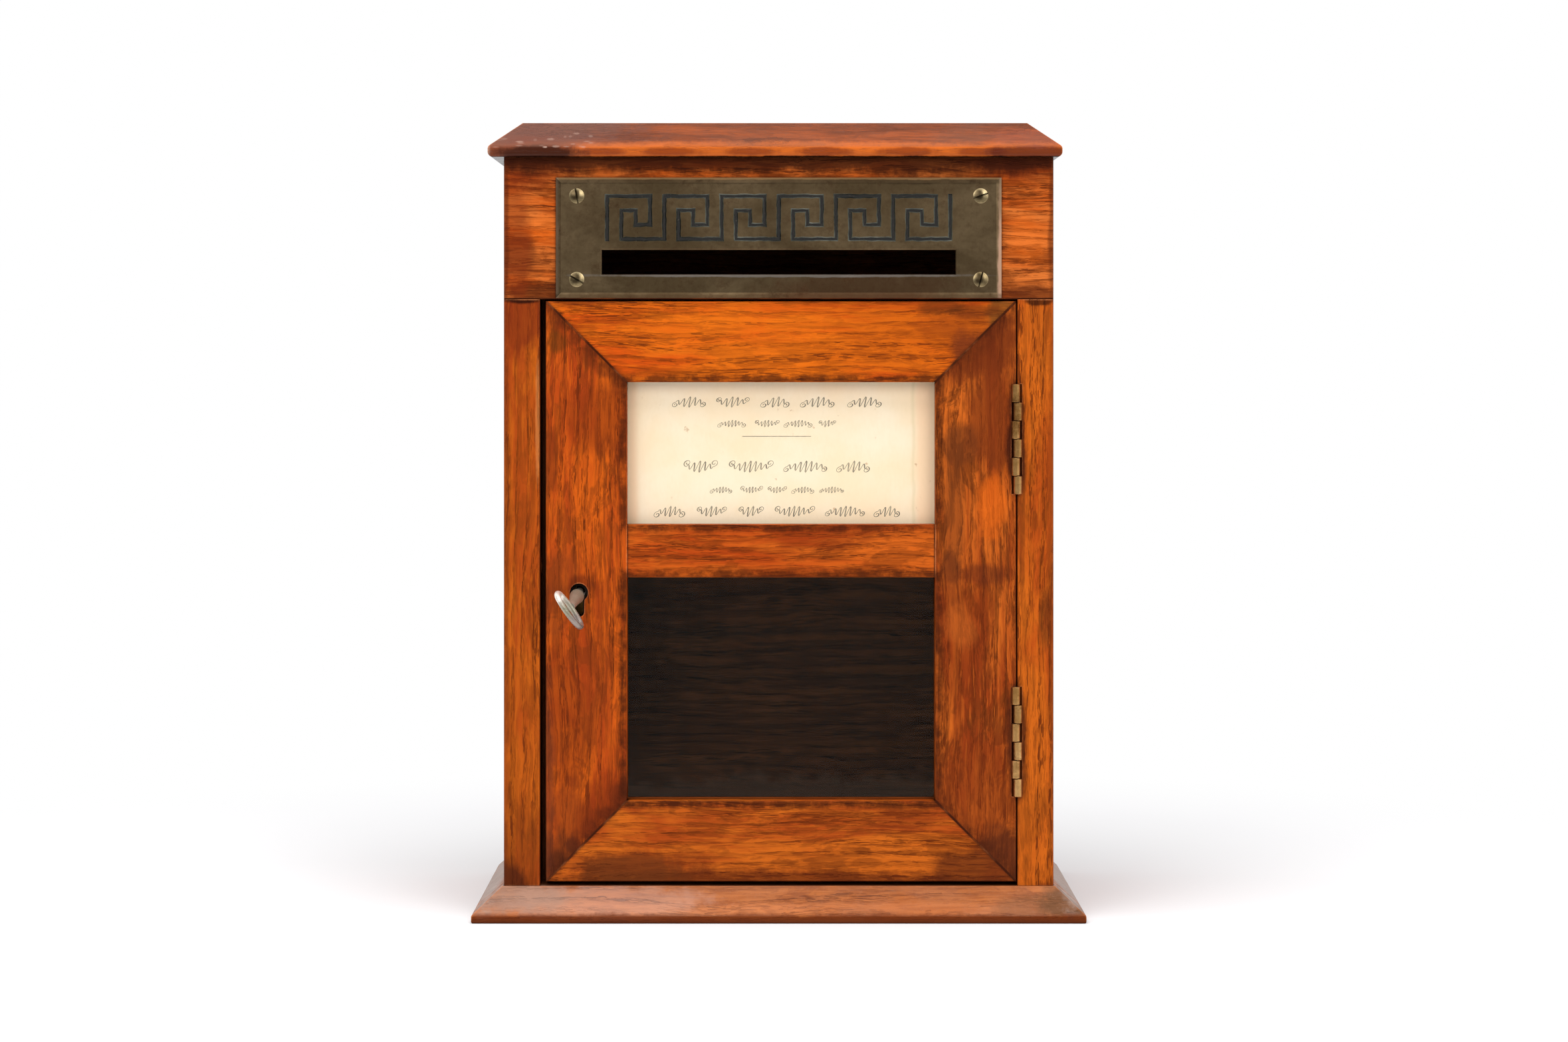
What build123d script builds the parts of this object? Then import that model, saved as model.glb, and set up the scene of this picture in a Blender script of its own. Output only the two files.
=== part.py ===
from build123d import *
import os
from math import cos, radians, tan

# A small oak letter box that stands on a hall table. Millimetres, +Z up, door to -Y.
# The origin is the middle of the base's underside. The front of the door, of the fascia
# and of the two sides is one plane, and depths are counted back from it.

# Carcass
case_width = 254.0
case_depth = 152.4
case_height = 336.6  # from the base to the top board
side_thickness = 16.8
back_thickness = 9.0
back_lap = 8.0  # how far the back panel laps onto each side
fascia_height = 65.6
fascia_thickness = 13.0
arris = 0.8  # rounding of the edges that are handled
stop_size = 9.0
stop_gap = 0.4  # between the shut door and its stop
batten_size = 14.0
batten_gap = 6.0  # between a batten's end and the fascia or the back

# Base and top boards
base_thickness = 15.4
base_projection = 14.0
base_margin = 0.6  # flat left between the bevel and the carcass
base_edge = 3.5  # square edge under the bevel
base_round = 1.0
top_thickness = 16.5
top_projection = 5.4
top_bevel = 15.2
top_edge = 4.8
top_round = 2.35
top_set_left = 1.7  # the top board isn't quite central

# Letter plate
plate_width = 205.8
plate_height = 55.6
plate_thickness = 2.4
plate_bevel_depth = 1.4
plate_bevel_angle = 60.0
plate_lift = 0.6  # above the lower edge of the fascia
slot_width = 163.4
slot_height = 11.4
slot_lift = 10.8  # above the lower edge of the plate
slot_break = 0.5
slot_relief = 1.5  # the slot in the wood stands back this far all round
plate_screw_inset_x = 9.7
plate_screw_inset_z = 8.5
plate_screw_turns = (115.0, 65.0, 40.0, -15.0)  # no two slots line up

# Door
door_thickness = 16.0
gap_above_door = 0.8
gap_below_door = 1.9
gap_at_hinges = 0.4
gap_at_lock = 2.6
frame_width = 37.5
middle_rail_height = 24.5
lower_light_height = 103.1
glazing_lip = 6.5  # wood in front of the glass
glazing_rebate = 6.0
tenon_length = 5.0
tenon_thickness = 5.0
tenon_depth = 8.0  # from the door's front to the middle of the tenon
glass_thickness = 2.0
glass_clearance = 0.5
card_thickness = 0.5
backing_thickness = 2.0
bead_setback = 0.6  # bead below the door's back
bead_round = 2.0

# Butt hinges
hinge_height = 50.8
hinge_knuckles = 6
hinge_foot_inset = 39.3  # from the door's foot to the lower hinge
hinge_top_inset = 38.4  # from the upper hinge to the door's top
leaf_thickness = 1.2
leaf_width = 13.5  # from the door's front
knuckle_radius = 1.95
knuckle_set = 0.45  # each knuckle bulges this far towards its own leaf
knuckle_forward = 0.8  # pin centre in front of the door
knuckle_gap = 0.2
knuckle_break = 0.25
knuckle_room = 0.15  # wood cut back round the barrel
pin_radius = 0.95
pin_clearance = 0.1
hinge_screw_inset = 7.5
hinge_screw_stagger = 1.6

# Lock, let into the back of the lock stile
key_height = 150.9  # above the table
key_backset = 15.3  # from the door's edge
keyhole_radius = 4.2
keyhole_slot_width = 5.0
keyhole_drop = 11.3  # from the hole's centre to the foot of its slot
lock_wood = 4.6  # wood in front of the lock
lock_wall = 1.2
lock_plate_thickness = 1.4
lock_plate_width = 31.0
lock_plate_end = 9.0  # plate beyond the case at each end
lock_case_width = 30.0
lock_case_below = 12.0
edge_strip_thickness = 1.6
edge_strip_width = 12.5
lock_screw_inset = 4.5
bolt_length = 27.8
bolt_height = 7.5
bolt_thickness = 5.0
bolt_rise = 8.5  # from the key's height to the foot of the bolt
bolt_throw = 5.6
bolt_clearance = 0.15
mortise_clearance = 0.4
mortise_depth = 5.5
talon_width = 13.0
talon_depth = 2.0
spring_thickness = 0.5
spring_width = 4.0
spring_length = 18.0
spring_rise = 3.4
spring_clearance = 0.4

# Key, loose in its hole, so it droops, hangs to the left and has turned past upright
key_droop = 12.0
key_yaw = 6.0
key_turned = 34.0
key_turn_range = 292.0
stem_radius = 2.1
stem_inside = 8.0  # from the lock's front plate to the stem's end
bit_reach = 8.6
bit_width = 3.0
bit_thickness = 2.0
bit_place = 5.1  # from the lock's front plate to the middle of the bit
case_keyhole_radius = 2.7
case_keyhole_slot = 3.4
collar_radius = 3.3
collar_start = 6.5
collar_slope = 0.6
collar_length = 2.4
waist_radius = 2.2  # half way from the collar to the neck
neck_radius = 1.9
bow_place = 31.0  # from the lock's front plate to the middle of the bow
bow_half_width = 9.2
bow_half_length = 4.9
bow_end_radius = 3.6
bow_wire = 1.3

# Screws: head radius, shank radius, length
plate_screw_size = (3.5, 1.7, 11.0)
hinge_screw_size = (2.7, 1.5, 12.0)
lock_screw_size = (2.4, 1.3, 9.0)
back_screw_size = (3.4, 1.8, 22.0)
base_screw_size = (4.0, 2.1, 34.0)
screw_point = 3.0
screw_slot = 0.8
screw_slot_depth = 0.7
screw_slot_turn = 35.0
plate_screw_dome = 0.8
screw_end_inset = 24.0  # carcass screws from the ends of a joint

# Places worked out from the sizes
back_y = (case_depth + base_projection) / 2
front_y = back_y - case_depth
case_foot = base_thickness
case_top = case_foot + case_height
fascia_foot = case_top - fascia_height
inside_x = case_width / 2 - side_thickness
inside_back = back_y - back_thickness

door_left = gap_at_lock - inside_x
door_right = inside_x - gap_at_hinges
door_foot = case_foot + gap_below_door
door_top = fascia_foot - gap_above_door
door_back = front_y + door_thickness
light_left = door_left + frame_width
light_right = door_right - frame_width
lower_light = (door_foot + frame_width, door_foot + frame_width + lower_light_height)
upper_light = (lower_light[1] + middle_rail_height, door_top - frame_width)
glass_y = front_y + glazing_lip

plate_foot = fascia_foot + plate_lift
plate_top = plate_foot + plate_height
plate_front = front_y - plate_thickness
slot_foot = plate_foot + slot_lift

hinge_lower_z = door_foot + hinge_foot_inset
hinge_upper_z = door_top - hinge_top_inset - hinge_height
pin_x = door_right + gap_at_hinges / 2
pin_y = front_y - knuckle_forward
groove_radius = knuckle_radius + knuckle_set + knuckle_room

key_x = door_left + key_backset
lock_front = front_y + lock_wood
lock_back = door_back - lock_plate_thickness
bolt_y = lock_front + lock_wall / 2 + bit_place * cos(radians(key_droop))
bolt_foot = key_height + bolt_rise
lock_case_foot = key_height - lock_case_below
lock_case_top = bolt_foot + bolt_height + spring_rise + spring_clearance + lock_wall
lock_case_right = door_left + lock_case_width


def facing(y):
    """The plane at depth y, seen from the front: its x is X and its y is Z."""
    return Plane.XZ.offset(-y)


def span(low, high, mode=Mode.ADD):
    """A rectangle from its lowest corner to its highest."""
    with Locations(((low[0] + high[0]) / 2, (low[1] + high[1]) / 2)):
        Rectangle(high[0] - low[0], high[1] - low[1], mode=mode)


def panel(low, high, near_y, far_y, mode=Mode.ADD):
    """A flat board that faces the front: X and Z corners, then its two depths."""
    with BuildSketch(facing(near_y)) as outline:
        span(low, high)
    extrude(outline.sketch, amount=near_y - far_y, mode=mode)


def seats(plane, points):
    """A place on the plane for each point, looking off it."""
    return [plane.location * Location((x, y, 0)) for x, y in points]


def write(piece, name):
    """Label a finished piece and write its file."""
    piece.part.label = name
    export_step(piece.part, f"parts/{name}.step")


def sink_screws(size, places):
    """Holes for countersunk screws, from the places down their z axes."""
    head, shank, length = size
    with Locations(*places):
        CounterSinkHole(
            radius=shank, counter_sink_radius=head, depth=length, counter_sink_angle=90
        )


def drill_pilots(size, places):
    """Plain holes for the shanks of the same screws, in the wood behind a metal plate."""
    head, shank, length = size
    with Locations(*places):
        Hole(radius=shank, depth=length)


def slotted_screw(size, dome=0.0):
    """A countersunk screw with a slotted head, flat or raised, that points down."""
    head, shank, length = size
    with BuildPart() as screw:
        with BuildSketch(Plane.XZ):
            with BuildLine():
                Polyline(
                    (head, 0),
                    (shank, shank - head),
                    (shank, screw_point - length),
                    (0, -length),
                    (0, dome),
                )
                if dome:
                    RadiusArc((0, dome), (head, 0), (head**2 + dome**2) / (2 * dome))
                else:
                    Line((0, 0), (head, 0))
            make_face()
        revolve(axis=Axis.Z)
        with Locations((0, 0, dome)):
            Box(
                3 * head,
                screw_slot,
                2 * screw_slot_depth + dome,
                rotation=(0, 0, screw_slot_turn),
                mode=Mode.SUBTRACT,
            )
    return screw.part


def bevelled_board(middle, foot, width, depth, thickness, edge, bevel, rounding):
    """A board flush with the back, with a bevel and a rounded nose on its front and ends."""
    with BuildSketch(Plane.XY.offset(foot)) as plan:
        span((middle - width / 2, back_y - depth), (middle + width / 2, back_y))
    extrude(plan.sketch, amount=thickness)
    board_top = faces().sort_by(Axis.Z)[-1]
    bevelled_edges = board_top.edges().sort_by(Axis.Y)[:-1]
    chamfer(bevelled_edges, bevel, thickness - edge, reference=board_top)
    upright = ShapeList(f for f in faces() if abs(f.normal_at().Z) < 0.01)
    noses = upright.sort_by(Axis.Y)[:-1]
    fillet(ShapeList(e for f in noses for e in f.edges().filter_by(Axis.Z, True)), rounding)


def side_board(hand):
    """One side, notched for the fascia and rebated for the back panel."""
    faces_x = sorted((hand * inside_x, hand * case_width / 2))
    panel((faces_x[0], case_foot), (faces_x[1], case_top), front_y, back_y)
    front_edges = faces().sort_by(Axis.Y)[0].edges().filter_by(Axis.Z)
    fillet(front_edges, arris)
    notch_x = (hand * case_width / 2 - side_thickness, hand * case_width / 2 + side_thickness)
    panel(
        (notch_x[0], fascia_foot),
        (notch_x[1], case_top),
        front_y,
        front_y + fascia_thickness,
        mode=Mode.SUBTRACT,
    )
    lap_x = sorted((hand * inside_x, hand * (inside_x + back_lap)))
    panel((lap_x[0], case_foot), (lap_x[1], case_top), inside_back, back_y, Mode.SUBTRACT)


def door_blank():
    """The whole door frame in one, before it is cut into its five pieces."""
    with BuildSketch(facing(front_y)) as frame_outline:
        span((door_left, door_foot), (door_right, door_top))
        for foot, top in (lower_light, upper_light):
            span((light_left, foot), (light_right, top), Mode.SUBTRACT)
    extrude(frame_outline.sketch, amount=-door_thickness)
    fillet(faces().sort_by(Axis.Y)[0].edges(), arris)
    for foot, top in (lower_light, upper_light):
        panel(
            (light_left - glazing_rebate, foot - glazing_rebate),
            (light_right + glazing_rebate, top + glazing_rebate),
            glass_y,
            door_back,
            Mode.SUBTRACT,
        )


def keep_inside(*corners):
    """Keep only what lies inside an outline drawn on the front."""
    with BuildSketch(facing(front_y)) as kept:
        with BuildLine():
            Polyline(*corners, close=True)
        make_face()
    extrude(kept.sketch, amount=-2 * door_thickness, mode=Mode.INTERSECT)


def middle_tenons(mode):
    """The stub tenons of the middle rail, or the mortises that take them."""
    rail_middle = lower_light[1] + middle_rail_height / 2
    half_height = middle_rail_height / 2 - glazing_rebate
    panel(
        (light_left - tenon_length, rail_middle - half_height),
        (light_right + tenon_length, rail_middle + half_height),
        front_y + tenon_depth - tenon_thickness / 2,
        front_y + tenon_depth + tenon_thickness / 2,
        mode,
    )


def hinge_screw_points(foot, edge_x):
    """The three screws of a leaf, staggered across its width."""
    middle_y = (pin_y + groove_radius + front_y + leaf_width) / 2
    steps = (hinge_screw_inset, hinge_height / 2, hinge_height - hinge_screw_inset)
    shifts = (hinge_screw_stagger, -hinge_screw_stagger, hinge_screw_stagger)
    return [(edge_x, middle_y + s, foot + z) for z, s in zip(steps, shifts)]


def hinge_screw_seats(foot, hand):
    """Where the screws of one leaf sit: hand 1 in the case, -1 in the door."""
    edge_x = inside_x if hand == 1 else door_right
    points = hinge_screw_points(foot, edge_x)
    return [Plane(origin=p, x_dir=(0, 1, 0), z_dir=(-hand, 0, 0)).location for p in points]


def barrel_groove(foot):
    """Wood cut away round the barrel."""
    with BuildSketch(Plane.XY.offset(foot)) as groove:
        with Locations((pin_x, pin_y)):
            Circle(groove_radius)
    extrude(groove.sketch, amount=hinge_height, mode=Mode.SUBTRACT)


def leaf_seat(foot, hand):
    """The shallow housing of a hinge leaf, its groove and its screw holes."""
    edge_x = inside_x if hand == 1 else door_right
    with BuildSketch(Plane.XY.offset(foot)) as housing:
        low_x, high_x = sorted((edge_x, edge_x + hand * leaf_thickness))
        span((low_x, pin_y), (high_x, front_y + leaf_width))
    extrude(housing.sketch, amount=hinge_height, mode=Mode.SUBTRACT)
    barrel_groove(foot)
    drill_pilots(hinge_screw_size, hinge_screw_seats(foot, hand))


def hinge_leaf(foot, hand):
    """A leaf of a butt hinge, with every second knuckle of the barrel."""
    edge_x = inside_x if hand == 1 else door_right
    low_x, high_x = sorted((edge_x, edge_x + hand * leaf_thickness))
    plate_near = pin_y + groove_radius
    step = (hinge_height + knuckle_gap) / hinge_knuckles
    bore = pin_radius if hand == 1 else pin_radius + pin_clearance
    first = 0 if hand == 1 else 1
    with BuildSketch(Plane.XY.offset(foot)) as flat:
        span((low_x, plate_near), (high_x, front_y + leaf_width))
    extrude(flat.sketch, amount=hinge_height)
    for place in range(first, hinge_knuckles, 2):
        level = Plane.XY.offset(foot + place * step)
        with BuildSketch(level) as knuckle:
            with Locations((pin_x + hand * knuckle_set, pin_y)):
                Circle(knuckle_radius)
        extrude(knuckle.sketch, amount=step - knuckle_gap)
        ends = edges().filter_by(GeomType.CIRCLE)
        rims = [e for e in ends if abs(e.radius - knuckle_radius) < 0.01]
        rims = [e for e in rims if level.origin.Z - 0.01 < e.center().Z]
        chamfer(rims, knuckle_break)
        with BuildSketch(level) as strap:
            span((low_x, pin_y), (high_x, plate_near))
        extrude(strap.sketch, amount=step - knuckle_gap)
    with BuildSketch(Plane.XY.offset(foot)) as bore_outline:
        with Locations((pin_x, pin_y)):
            Circle(bore)
    extrude(bore_outline.sketch, amount=hinge_height, mode=Mode.SUBTRACT)
    sink_screws(hinge_screw_size, hinge_screw_seats(foot, hand))


os.makedirs("parts", exist_ok=True)

# Where the screws go
plate_screw_x = plate_width / 2 - plate_screw_inset_x
plate_screw_points = [
    (x, z)
    for x in (-plate_screw_x, plate_screw_x)
    for z in (plate_foot + plate_screw_inset_z, plate_top - plate_screw_inset_z)
]
plate_screw_seats = [
    seat * Location((0, 0, 0), (0, 0, turn))
    for seat, turn in zip(seats(facing(plate_front), plate_screw_points), plate_screw_turns)
]

behind = Plane(origin=(0, back_y, 0), x_dir=(-1, 0, 0), z_dir=(0, 1, 0))
back_screw_x = inside_x + back_lap / 2
back_screw_z = (
    case_foot + screw_end_inset,
    case_foot + case_height / 2,
    case_top - screw_end_inset,
)
back_screw_points = [(x, z) for x in (-back_screw_x, back_screw_x) for z in back_screw_z]
back_screw_seats = seats(behind, back_screw_points)

beneath = Plane(origin=(0, 0, 0), x_dir=(1, 0, 0), z_dir=(0, 0, -1))
base_screw_x = case_width / 2 - side_thickness / 2
base_screw_y = (front_y + screw_end_inset, back_y - screw_end_inset - back_thickness)
base_screw_points = [(x, -y) for x in (-base_screw_x, base_screw_x) for y in base_screw_y]
base_screw_seats = seats(beneath, base_screw_points)

lock_plane = Plane(origin=(0, door_back, 0), x_dir=(-1, 0, 0), z_dir=(0, 1, 0))
lock_screw_points = [
    (-x, z)
    for x in (
        door_left + edge_strip_thickness + lock_screw_inset,
        door_left + lock_plate_width - lock_screw_inset,
    )
    for z in (
        lock_case_foot - lock_plate_end + lock_screw_inset,
        lock_case_top + lock_plate_end - lock_screw_inset,
    )
]
lock_screw_seats = seats(lock_plane, lock_screw_points)

# ---- Base and top ----
with BuildPart() as base_board:
    bevelled_board(
        0,
        0,
        case_width + 2 * base_projection,
        case_depth + base_projection,
        base_thickness,
        base_edge,
        base_projection - base_margin,
        base_round,
    )
    sink_screws(base_screw_size, base_screw_seats)
write(base_board, "base_board")

with BuildPart() as top_board:
    bevelled_board(
        -top_set_left,
        case_top,
        case_width + 2 * top_projection,
        case_depth + top_projection,
        top_thickness,
        top_edge,
        top_bevel,
        top_round,
    )
write(top_board, "top_board")

base_screw = slotted_screw(base_screw_size)
with BuildPart() as base_screws:
    with Locations(*base_screw_seats):
        add(base_screw)
write(base_screws, "base_screws")

# ---- Sides, back and fascia ----
with BuildPart() as left_side:
    side_board(-1)
    panel(
        (-inside_x - mortise_depth, bolt_foot - mortise_clearance),
        (-inside_x, bolt_foot + bolt_height + mortise_clearance),
        bolt_y - bolt_thickness / 2 - mortise_clearance,
        bolt_y + bolt_thickness / 2 + mortise_clearance,
        Mode.SUBTRACT,
    )
    drill_pilots(base_screw_size, base_screw_seats)
    drill_pilots(back_screw_size, back_screw_seats)
write(left_side, "left_side")

with BuildPart() as right_side:
    side_board(1)
    for hinge_foot in (hinge_lower_z, hinge_upper_z):
        leaf_seat(hinge_foot, 1)
    drill_pilots(base_screw_size, base_screw_seats)
    drill_pilots(back_screw_size, back_screw_seats)
write(right_side, "right_side")

with BuildPart() as back_panel:
    half_back = inside_x + back_lap
    panel((-half_back, case_foot), (half_back, case_top), inside_back, back_y)
    sink_screws(back_screw_size, back_screw_seats)
write(back_panel, "back_panel")

back_screw = slotted_screw(back_screw_size)
with BuildPart() as back_panel_screws:
    with Locations(*back_screw_seats):
        add(back_screw)
write(back_panel_screws, "back_panel_screws")

with BuildPart() as fascia_board:
    panel(
        (-case_width / 2, fascia_foot),
        (case_width / 2, case_top),
        front_y,
        front_y + fascia_thickness,
    )
    fascia_edges = faces().sort_by(Axis.Y)[0].edges().sort_by(Axis.Z)[:-1]
    fillet(fascia_edges, arris)
    panel(
        (-slot_width / 2 - slot_relief, slot_foot - slot_relief),
        (slot_width / 2 + slot_relief, slot_foot + slot_height + slot_relief),
        front_y,
        front_y + fascia_thickness,
        Mode.SUBTRACT,
    )
    drill_pilots(plate_screw_size, plate_screw_seats)
write(fascia_board, "fascia_board")

with BuildPart() as top_battens:
    for hand in (-1, 1):
        batten_x = sorted((hand * inside_x, hand * (inside_x - batten_size)))
        panel(
            (batten_x[0], case_top - batten_size),
            (batten_x[1], case_top),
            front_y + fascia_thickness + batten_gap,
            inside_back - batten_gap,
        )
        lower_inner = edges().filter_by(Axis.Y).group_by(Axis.Z)[0]
        chamfer(lower_inner.sort_by(Axis.X)[0 if hand == 1 else -1], batten_size / 3)
write(top_battens, "top_battens")

with BuildPart() as door_stop:
    panel(
        (-inside_x, case_foot),
        (stop_size - inside_x, fascia_foot),
        door_back + stop_gap,
        door_back + stop_gap + stop_size,
    )
    stop_edges = edges().filter_by(Axis.Z).group_by(Axis.X)[-1]
    fillet(stop_edges, stop_size / 4)
write(door_stop, "door_stop")

# ---- Letter plate ----
with BuildPart() as letter_plate:
    with BuildSketch(facing(front_y)):
        span((-plate_width / 2, plate_foot), (plate_width / 2, plate_top))
    extrude(amount=plate_thickness - plate_bevel_depth)
    with BuildSketch(facing(front_y - plate_thickness + plate_bevel_depth)):
        span((-plate_width / 2, plate_foot), (plate_width / 2, plate_top))
    extrude(amount=plate_bevel_depth, taper=plate_bevel_angle)
    with BuildSketch(facing(front_y)):
        span((-slot_width / 2, slot_foot), (slot_width / 2, slot_foot + slot_height))
    extrude(amount=plate_thickness, mode=Mode.SUBTRACT)
    chamfer(faces().sort_by(Axis.Y)[0].inner_wires()[0].edges(), slot_break)
    sink_screws(plate_screw_size, plate_screw_seats)
write(letter_plate, "letter_plate")

plate_screw = slotted_screw(plate_screw_size, plate_screw_dome)
with BuildPart() as letter_plate_screws:
    with Locations(*plate_screw_seats):
        add(plate_screw)
write(letter_plate_screws, "letter_plate_screws")

# ---- Door frame, mitred at its corners ----
outer = {
    "left foot": (door_left, door_foot),
    "left top": (door_left, door_top),
    "right foot": (door_right, door_foot),
    "right top": (door_right, door_top),
}
inner = {
    "left foot": (light_left, lower_light[0]),
    "left top": (light_left, upper_light[1]),
    "right foot": (light_right, lower_light[0]),
    "right top": (light_right, upper_light[1]),
}

with BuildPart() as door_hinge_stile:
    door_blank()
    keep_inside(outer["right foot"], outer["right top"], inner["right top"], inner["right foot"])
    middle_tenons(Mode.SUBTRACT)
    for hinge_foot in (hinge_lower_z, hinge_upper_z):
        leaf_seat(hinge_foot, -1)
write(door_hinge_stile, "door_hinge_stile")

with BuildPart() as door_lock_stile:
    door_blank()
    keep_inside(outer["left foot"], outer["left top"], inner["left top"], inner["left foot"])
    middle_tenons(Mode.SUBTRACT)
    panel(
        (door_left, lock_case_foot - lock_plate_end),
        (door_left + lock_plate_width, lock_case_top + lock_plate_end),
        lock_back,
        door_back,
        Mode.SUBTRACT,
    )
    panel(
        (door_left, lock_case_foot - lock_plate_end),
        (door_left + edge_strip_thickness, lock_case_top + lock_plate_end),
        door_back - edge_strip_width,
        door_back,
        Mode.SUBTRACT,
    )
    panel(
        (door_left + edge_strip_thickness, lock_case_foot),
        (lock_case_right, lock_case_top),
        lock_front,
        door_back,
        Mode.SUBTRACT,
    )
    with BuildSketch(facing(front_y)):
        with Locations((key_x, key_height)):
            Circle(keyhole_radius)
        with Locations((key_x, key_height - (keyhole_drop - keyhole_slot_width / 2) / 2)):
            Rectangle(keyhole_slot_width, keyhole_drop - keyhole_slot_width / 2)
        with Locations((key_x, key_height - keyhole_drop + keyhole_slot_width / 2)):
            Circle(keyhole_slot_width / 2)
    extrude(amount=-door_thickness / 2, mode=Mode.SUBTRACT)
    drill_pilots(lock_screw_size, lock_screw_seats)
write(door_lock_stile, "door_lock_stile")

with BuildPart() as door_top_rail:
    door_blank()
    keep_inside(outer["left top"], outer["right top"], inner["right top"], inner["left top"])
write(door_top_rail, "door_top_rail")

with BuildPart() as door_bottom_rail:
    door_blank()
    keep_inside(outer["left foot"], outer["right foot"], inner["right foot"], inner["left foot"])
write(door_bottom_rail, "door_bottom_rail")

with BuildPart() as door_middle_rail:
    door_blank()
    keep_inside(
        (light_left, lower_light[1]),
        (light_right, lower_light[1]),
        (light_right, upper_light[0]),
        (light_left, upper_light[0]),
    )
    middle_tenons(Mode.ADD)
write(door_middle_rail, "door_middle_rail")

# ---- Glass, card and beads ----
pane_grow = glazing_rebate - glass_clearance
pane_left = light_left - pane_grow
pane_right = light_right + pane_grow
bead_back = door_back - bead_setback
card_y = glass_y + glass_thickness
backing_y = card_y + card_thickness
lights = {
    "lower": (lower_light, card_y),
    "upper": (upper_light, backing_y + backing_thickness),
}

for light_name, ((foot, top), bead_y) in lights.items():
    with BuildPart() as glass:
        low = (pane_left, foot - pane_grow)
        high = (pane_right, top + pane_grow)
        panel(low, high, glass_y, glass_y + glass_thickness)
    write(glass, f"{light_name}_glass")

    out_left, out_right = light_left - glazing_rebate, light_right + glazing_rebate
    out_foot, out_top = foot - glazing_rebate, top + glazing_rebate
    bead_outlines = {
        "left": ((out_left, out_foot), (out_left, out_top), (light_left, top), (light_left, foot)),
        "right": (
            (out_right, out_foot),
            (out_right, out_top),
            (light_right, top),
            (light_right, foot),
        ),
        "top": ((out_left, out_top), (out_right, out_top), (light_right, top), (light_left, top)),
        "bottom": (
            (out_left, out_foot),
            (out_right, out_foot),
            (light_right, foot),
            (light_left, foot),
        ),
    }
    for bead_name, corners in bead_outlines.items():
        with BuildPart() as bead:
            panel((out_left, out_foot), (out_right, out_top), bead_y, bead_back)
            panel((light_left, foot), (light_right, top), bead_y, bead_back, Mode.SUBTRACT)
            sight_edges = faces().sort_by(Axis.Y)[-1].inner_wires()[0].edges()
            fillet(sight_edges, bead_round)
            keep_inside(*corners)
        write(bead, f"{light_name}_{bead_name}_bead")

upper_low = (pane_left, upper_light[0] - pane_grow)
upper_high = (pane_right, upper_light[1] + pane_grow)
with BuildPart() as notice_card:
    panel(upper_low, upper_high, card_y, backing_y)
write(notice_card, "notice_card")

with BuildPart() as card_backing:
    panel(upper_low, upper_high, backing_y, backing_y + backing_thickness)
write(card_backing, "card_backing")

# ---- Hinges ----
hinges = {"lower": hinge_lower_z, "upper": hinge_upper_z}
for hinge_name, hinge_foot in hinges.items():
    with BuildPart() as case_leaf:
        hinge_leaf(hinge_foot, 1)
    write(case_leaf, f"{hinge_name}_hinge_case_leaf")
    with BuildPart() as door_leaf:
        hinge_leaf(hinge_foot, -1)
    write(door_leaf, f"{hinge_name}_hinge_door_leaf")
    with BuildPart() as hinge_pin:
        with BuildSketch(Plane.XY.offset(hinge_foot)):
            with Locations((pin_x, pin_y)):
                Circle(pin_radius)
        extrude(amount=hinge_height)
    write(hinge_pin, f"{hinge_name}_hinge_pin")

hinge_screw = slotted_screw(hinge_screw_size)
for part_name, hand in (("hinge_case_screws", 1), ("hinge_door_screws", -1)):
    with BuildPart() as hinge_screws:
        for hinge_foot in hinges.values():
            with Locations(*hinge_screw_seats(hinge_foot, hand)):
                add(hinge_screw)
    write(hinge_screws, part_name)

# ---- Lock ----
bolt_hole_low = bolt_foot - bolt_clearance
bolt_hole_high = bolt_foot + bolt_height + bolt_clearance
bolt_hole_near = bolt_y - bolt_thickness / 2 - bolt_clearance
bolt_hole_far = bolt_y + bolt_thickness / 2 + bolt_clearance

with BuildPart() as lock_plate:
    plate_low = lock_case_foot - lock_plate_end
    plate_high = lock_case_top + lock_plate_end
    panel((door_left, plate_low), (door_left + lock_plate_width, plate_high), lock_back, door_back)
    panel(
        (door_left, plate_low),
        (door_left + edge_strip_thickness, plate_high),
        door_back - edge_strip_width,
        lock_back,
    )
    panel(
        (door_left, bolt_hole_low),
        (door_left + edge_strip_thickness, bolt_hole_high),
        bolt_hole_near,
        bolt_hole_far,
        Mode.SUBTRACT,
    )
    sink_screws(lock_screw_size, lock_screw_seats)
write(lock_plate, "lock_plate")

with BuildPart() as lock_case:
    case_left = door_left + edge_strip_thickness
    panel((case_left, lock_case_foot), (lock_case_right, lock_case_top), lock_front, lock_back)
    panel(
        (case_left + lock_wall, lock_case_foot + lock_wall),
        (lock_case_right - lock_wall, lock_case_top - lock_wall),
        lock_front + lock_wall,
        lock_back,
        Mode.SUBTRACT,
    )
    panel(
        (case_left, bolt_hole_low),
        (case_left + lock_wall, bolt_hole_high),
        bolt_hole_near,
        bolt_hole_far,
        Mode.SUBTRACT,
    )
    with BuildSketch(facing(lock_front)):
        with Locations((key_x, key_height)):
            Circle(case_keyhole_radius)
        with Locations((key_x, key_height - keyhole_drop / 2)):
            Rectangle(case_keyhole_slot, keyhole_drop - lock_wall)
    extrude(amount=-lock_wall, mode=Mode.SUBTRACT)
write(lock_case, "lock_case")

lock_screw = slotted_screw(lock_screw_size)
with BuildPart() as lock_screws:
    with Locations(*lock_screw_seats):
        add(lock_screw)
write(lock_screws, "lock_screws")

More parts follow.
